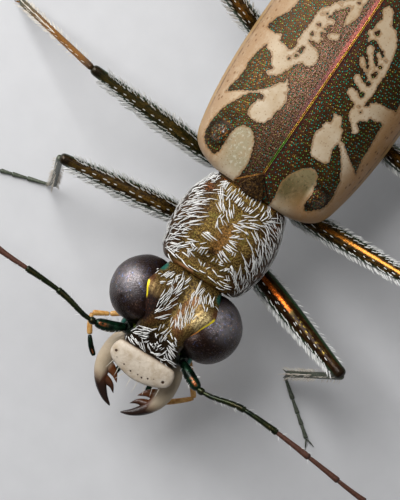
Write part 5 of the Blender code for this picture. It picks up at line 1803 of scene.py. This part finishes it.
limbRows = {
    "femur": [
        (78, 0.04, 0.93, 52, 0.2, 0.31, 27, 0.03), (100, 0.05, 0.93, 44, 0.2, 0.32, 29, 0.03),
        (-60, 0.05, 0.92, 50, 0.16, 0.25, 33, 0.028), (-100, 0.05, 0.92, 36, 0.14, 0.23, 32, 0.024),
        (16, 0.2, 0.88, 11, 0.08, 0.17, 12, 0.026), (48, 0.04, 0.9, 30, 0.14, 0.26, 13, 0.024),
        (125, 0.05, 0.9, 30, 0.22, 0.36, 34, 0.026), (-38, 0.06, 0.9, 36, 0.15, 0.24, 20, 0.026),
    ],
    "tibia": [
        (100, 0.06, 0.95, 28, 0.14, 0.24, 34, 0.018), (-95, 0.06, 0.95, 28, 0.14, 0.24, 34, 0.018),
        (20, 0.08, 0.95, 14, 0.12, 0.18, 30, 0.013), (165, 0.1, 0.97, 20, 0.16, 0.26, 32, 0.014),
        (60, 0.45, 1.0, 26, 0.18, 0.32, 26, 0.018), (-60, 0.45, 1.0, 26, 0.18, 0.32, 26, 0.018),
        (0, 0.5, 1.0, 22, 0.18, 0.3, 24, 0.018),
    ],
    "scape": [
        (60, 0.2, 0.9, 5, 0.1, 0.17, 42, 0.015), (-60, 0.2, 0.9, 5, 0.1, 0.17, 42, 0.015),
        (115, 0.3, 0.9, 4, 0.1, 0.17, 42, 0.015),
    ],
    "feeler": [
        (50, 0.05, 1.0, 4, 0.1, 0.2, 48, 0.012), (-60, 0.1, 1.0, 4, 0.1, 0.2, 48, 0.012),
        (130, 0.1, 1.0, 3, 0.1, 0.2, 48, 0.012),
    ],
}
for name, points in legs.items():
    hip, joint, knee, ankle, toe = [Vector(point) for point in points]
    rows = limbRows["femur"]
    if name.endswith("right"):  # higher up and thicker on the right thighs
        rows = [(row[0] * 0.86, *row[1:7], row[7] * 1.35) for row in rows]
    if name == "fore_left":  # nearly bare above, on its front
        rows = [row for row in rows if row[0] not in (-38, -60)]
    fringe = combLimb("femurBristles_" + name, joint, knee, thighProfile(name), rows, leg["bow"])
    settlePiece(fringe, whiteBristle)
    fine = combLimb("tibiaBristles_" + name, knee, ankle, leg["tibia"], limbRows["tibia"])
    settlePiece(fine, paleBristle)
for side in bothSides:
    scape = [Vector(point) for point in feeler["scape" + side.title()]]
    spots = [Vector(point) for point in feeler[side]]
    label = "scapeBristles_" + side
    hairs = [combLimb(label, scape[0], scape[-1], feeler["scapeProfile"], limbRows["scape"])]
    for k in (1, 2, 3):
        label = "feelerBristles_%s_%d" % (side, k)
        hairs.append(combLimb(label, spots[k], spots[k + 1], feeler["profile"], limbRows["feeler"]))
    for hair in hairs:
        settlePiece(placed(hair, headPlace), whiteBristle)
lipHair = [  # roots on the upper lip's edge
    (-0.78, -2.18), (-0.55, -2.26), (-0.3, -2.33), (-0.08, -2.37), (0.16, -2.36), (0.38, -2.31), (0.6, -2.24),
    (0.8, -2.14),
]
hairs = []
for x, y in lipHair:
    root = Vector((x, y + 0.03, 3.72))
    tip = root + Vector((root.x * 0.12 + chance.normal(0, 0.06), -chance.uniform(0.3, 0.44), -0.06))
    middle = (root + tip) / 2 + Vector((0, 0, 0.05))
    hairs.append((root, middle, tip, Vector((0, 0, 1)), 0.018, (root.x, root.y)))
settlePiece(placed(growBristles("lipBristles", hairs), headPlace), paleBristle)
print("bristles combed")


# Floor, light and camera

studio = {
    "centre": (-0.26, -2.89),  # the point of the beetle's frame in the picture's middle
    "pixelsPerMillimetre": 34.0,
    "roll": 34.46,
    "bodyHeight": 4.5,
    "distance": 150.0,
    "sensor": 36.0,
    "pictureHeight": 500,
    "world": 0.15,
}


def inFrame(x, y, z):
    return standing + Vector((x, y, z)) * millimetre


def floorFinish():
    finish = Finish("paperFloor", roughness=0.9, specular=0.2)
    grain = noise(finish.place(), 1.2, 3.0)
    finish.paint(blend((0.54, 0.54, 0.55), (0.6, 0.6, 0.61), grain))
    return finish.made()


def layFloor():
    selectNone()
    bpy.ops.mesh.primitive_plane_add(size=0.6, location=(0, 0, 0))
    floor = bpy.context.object
    floor.name = "floor"
    floor.data.materials.append(floorFinish())


def softLight(name, place, power, size, tint=(1, 1, 1)):
    data = bpy.data.lights.new(name, "AREA")
    data.energy = power
    data.size = size * millimetre
    data.color = tint
    light = bpy.data.objects.new(name, data)
    bpy.context.collection.objects.link(light)
    light.location = inFrame(*place)
    aim = inFrame(0, -1.5, 4.0) - light.location
    light.rotation_euler = aim.to_track_quat("-Z", "Y").to_euler()


def setStudio():
    layFloor()
    world = bpy.data.worlds.new("softRoom")
    bpy.context.scene.world = world
    world.use_nodes = True
    background = world.node_tree.nodes["Background"]
    background.inputs["Color"].default_value = (0.95, 0.97, 1.0, 1)
    background.inputs["Strength"].default_value = studio["world"]
    softLight("keyLight", (-30, 10, 56), 0.032, 34)
    softLight("sideLight", (-62, 16, 32), 0.04, 44)
    softLight("fillLight", (34, 44, 70), 0.005, 50)
    camera = bpy.data.objects.new("camera", bpy.data.cameras.new("camera"))
    bpy.context.collection.objects.link(camera)
    x, y = studio["centre"]
    camera.location = inFrame(x, y, studio["bodyHeight"] + studio["distance"])
    camera.rotation_euler = (0, 0, math.radians(studio["roll"]))
    seen = studio["pictureHeight"] / studio["pixelsPerMillimetre"]
    camera.data.lens = studio["sensor"] * studio["distance"] / seen
    camera.data.sensor_width = studio["sensor"]
    camera.data.clip_start = 0.005
    camera.data.clip_end = 5
    bpy.context.scene.camera = camera
    bpy.context.scene.view_settings.view_transform = "Standard"


setStudio()
print("studio set")
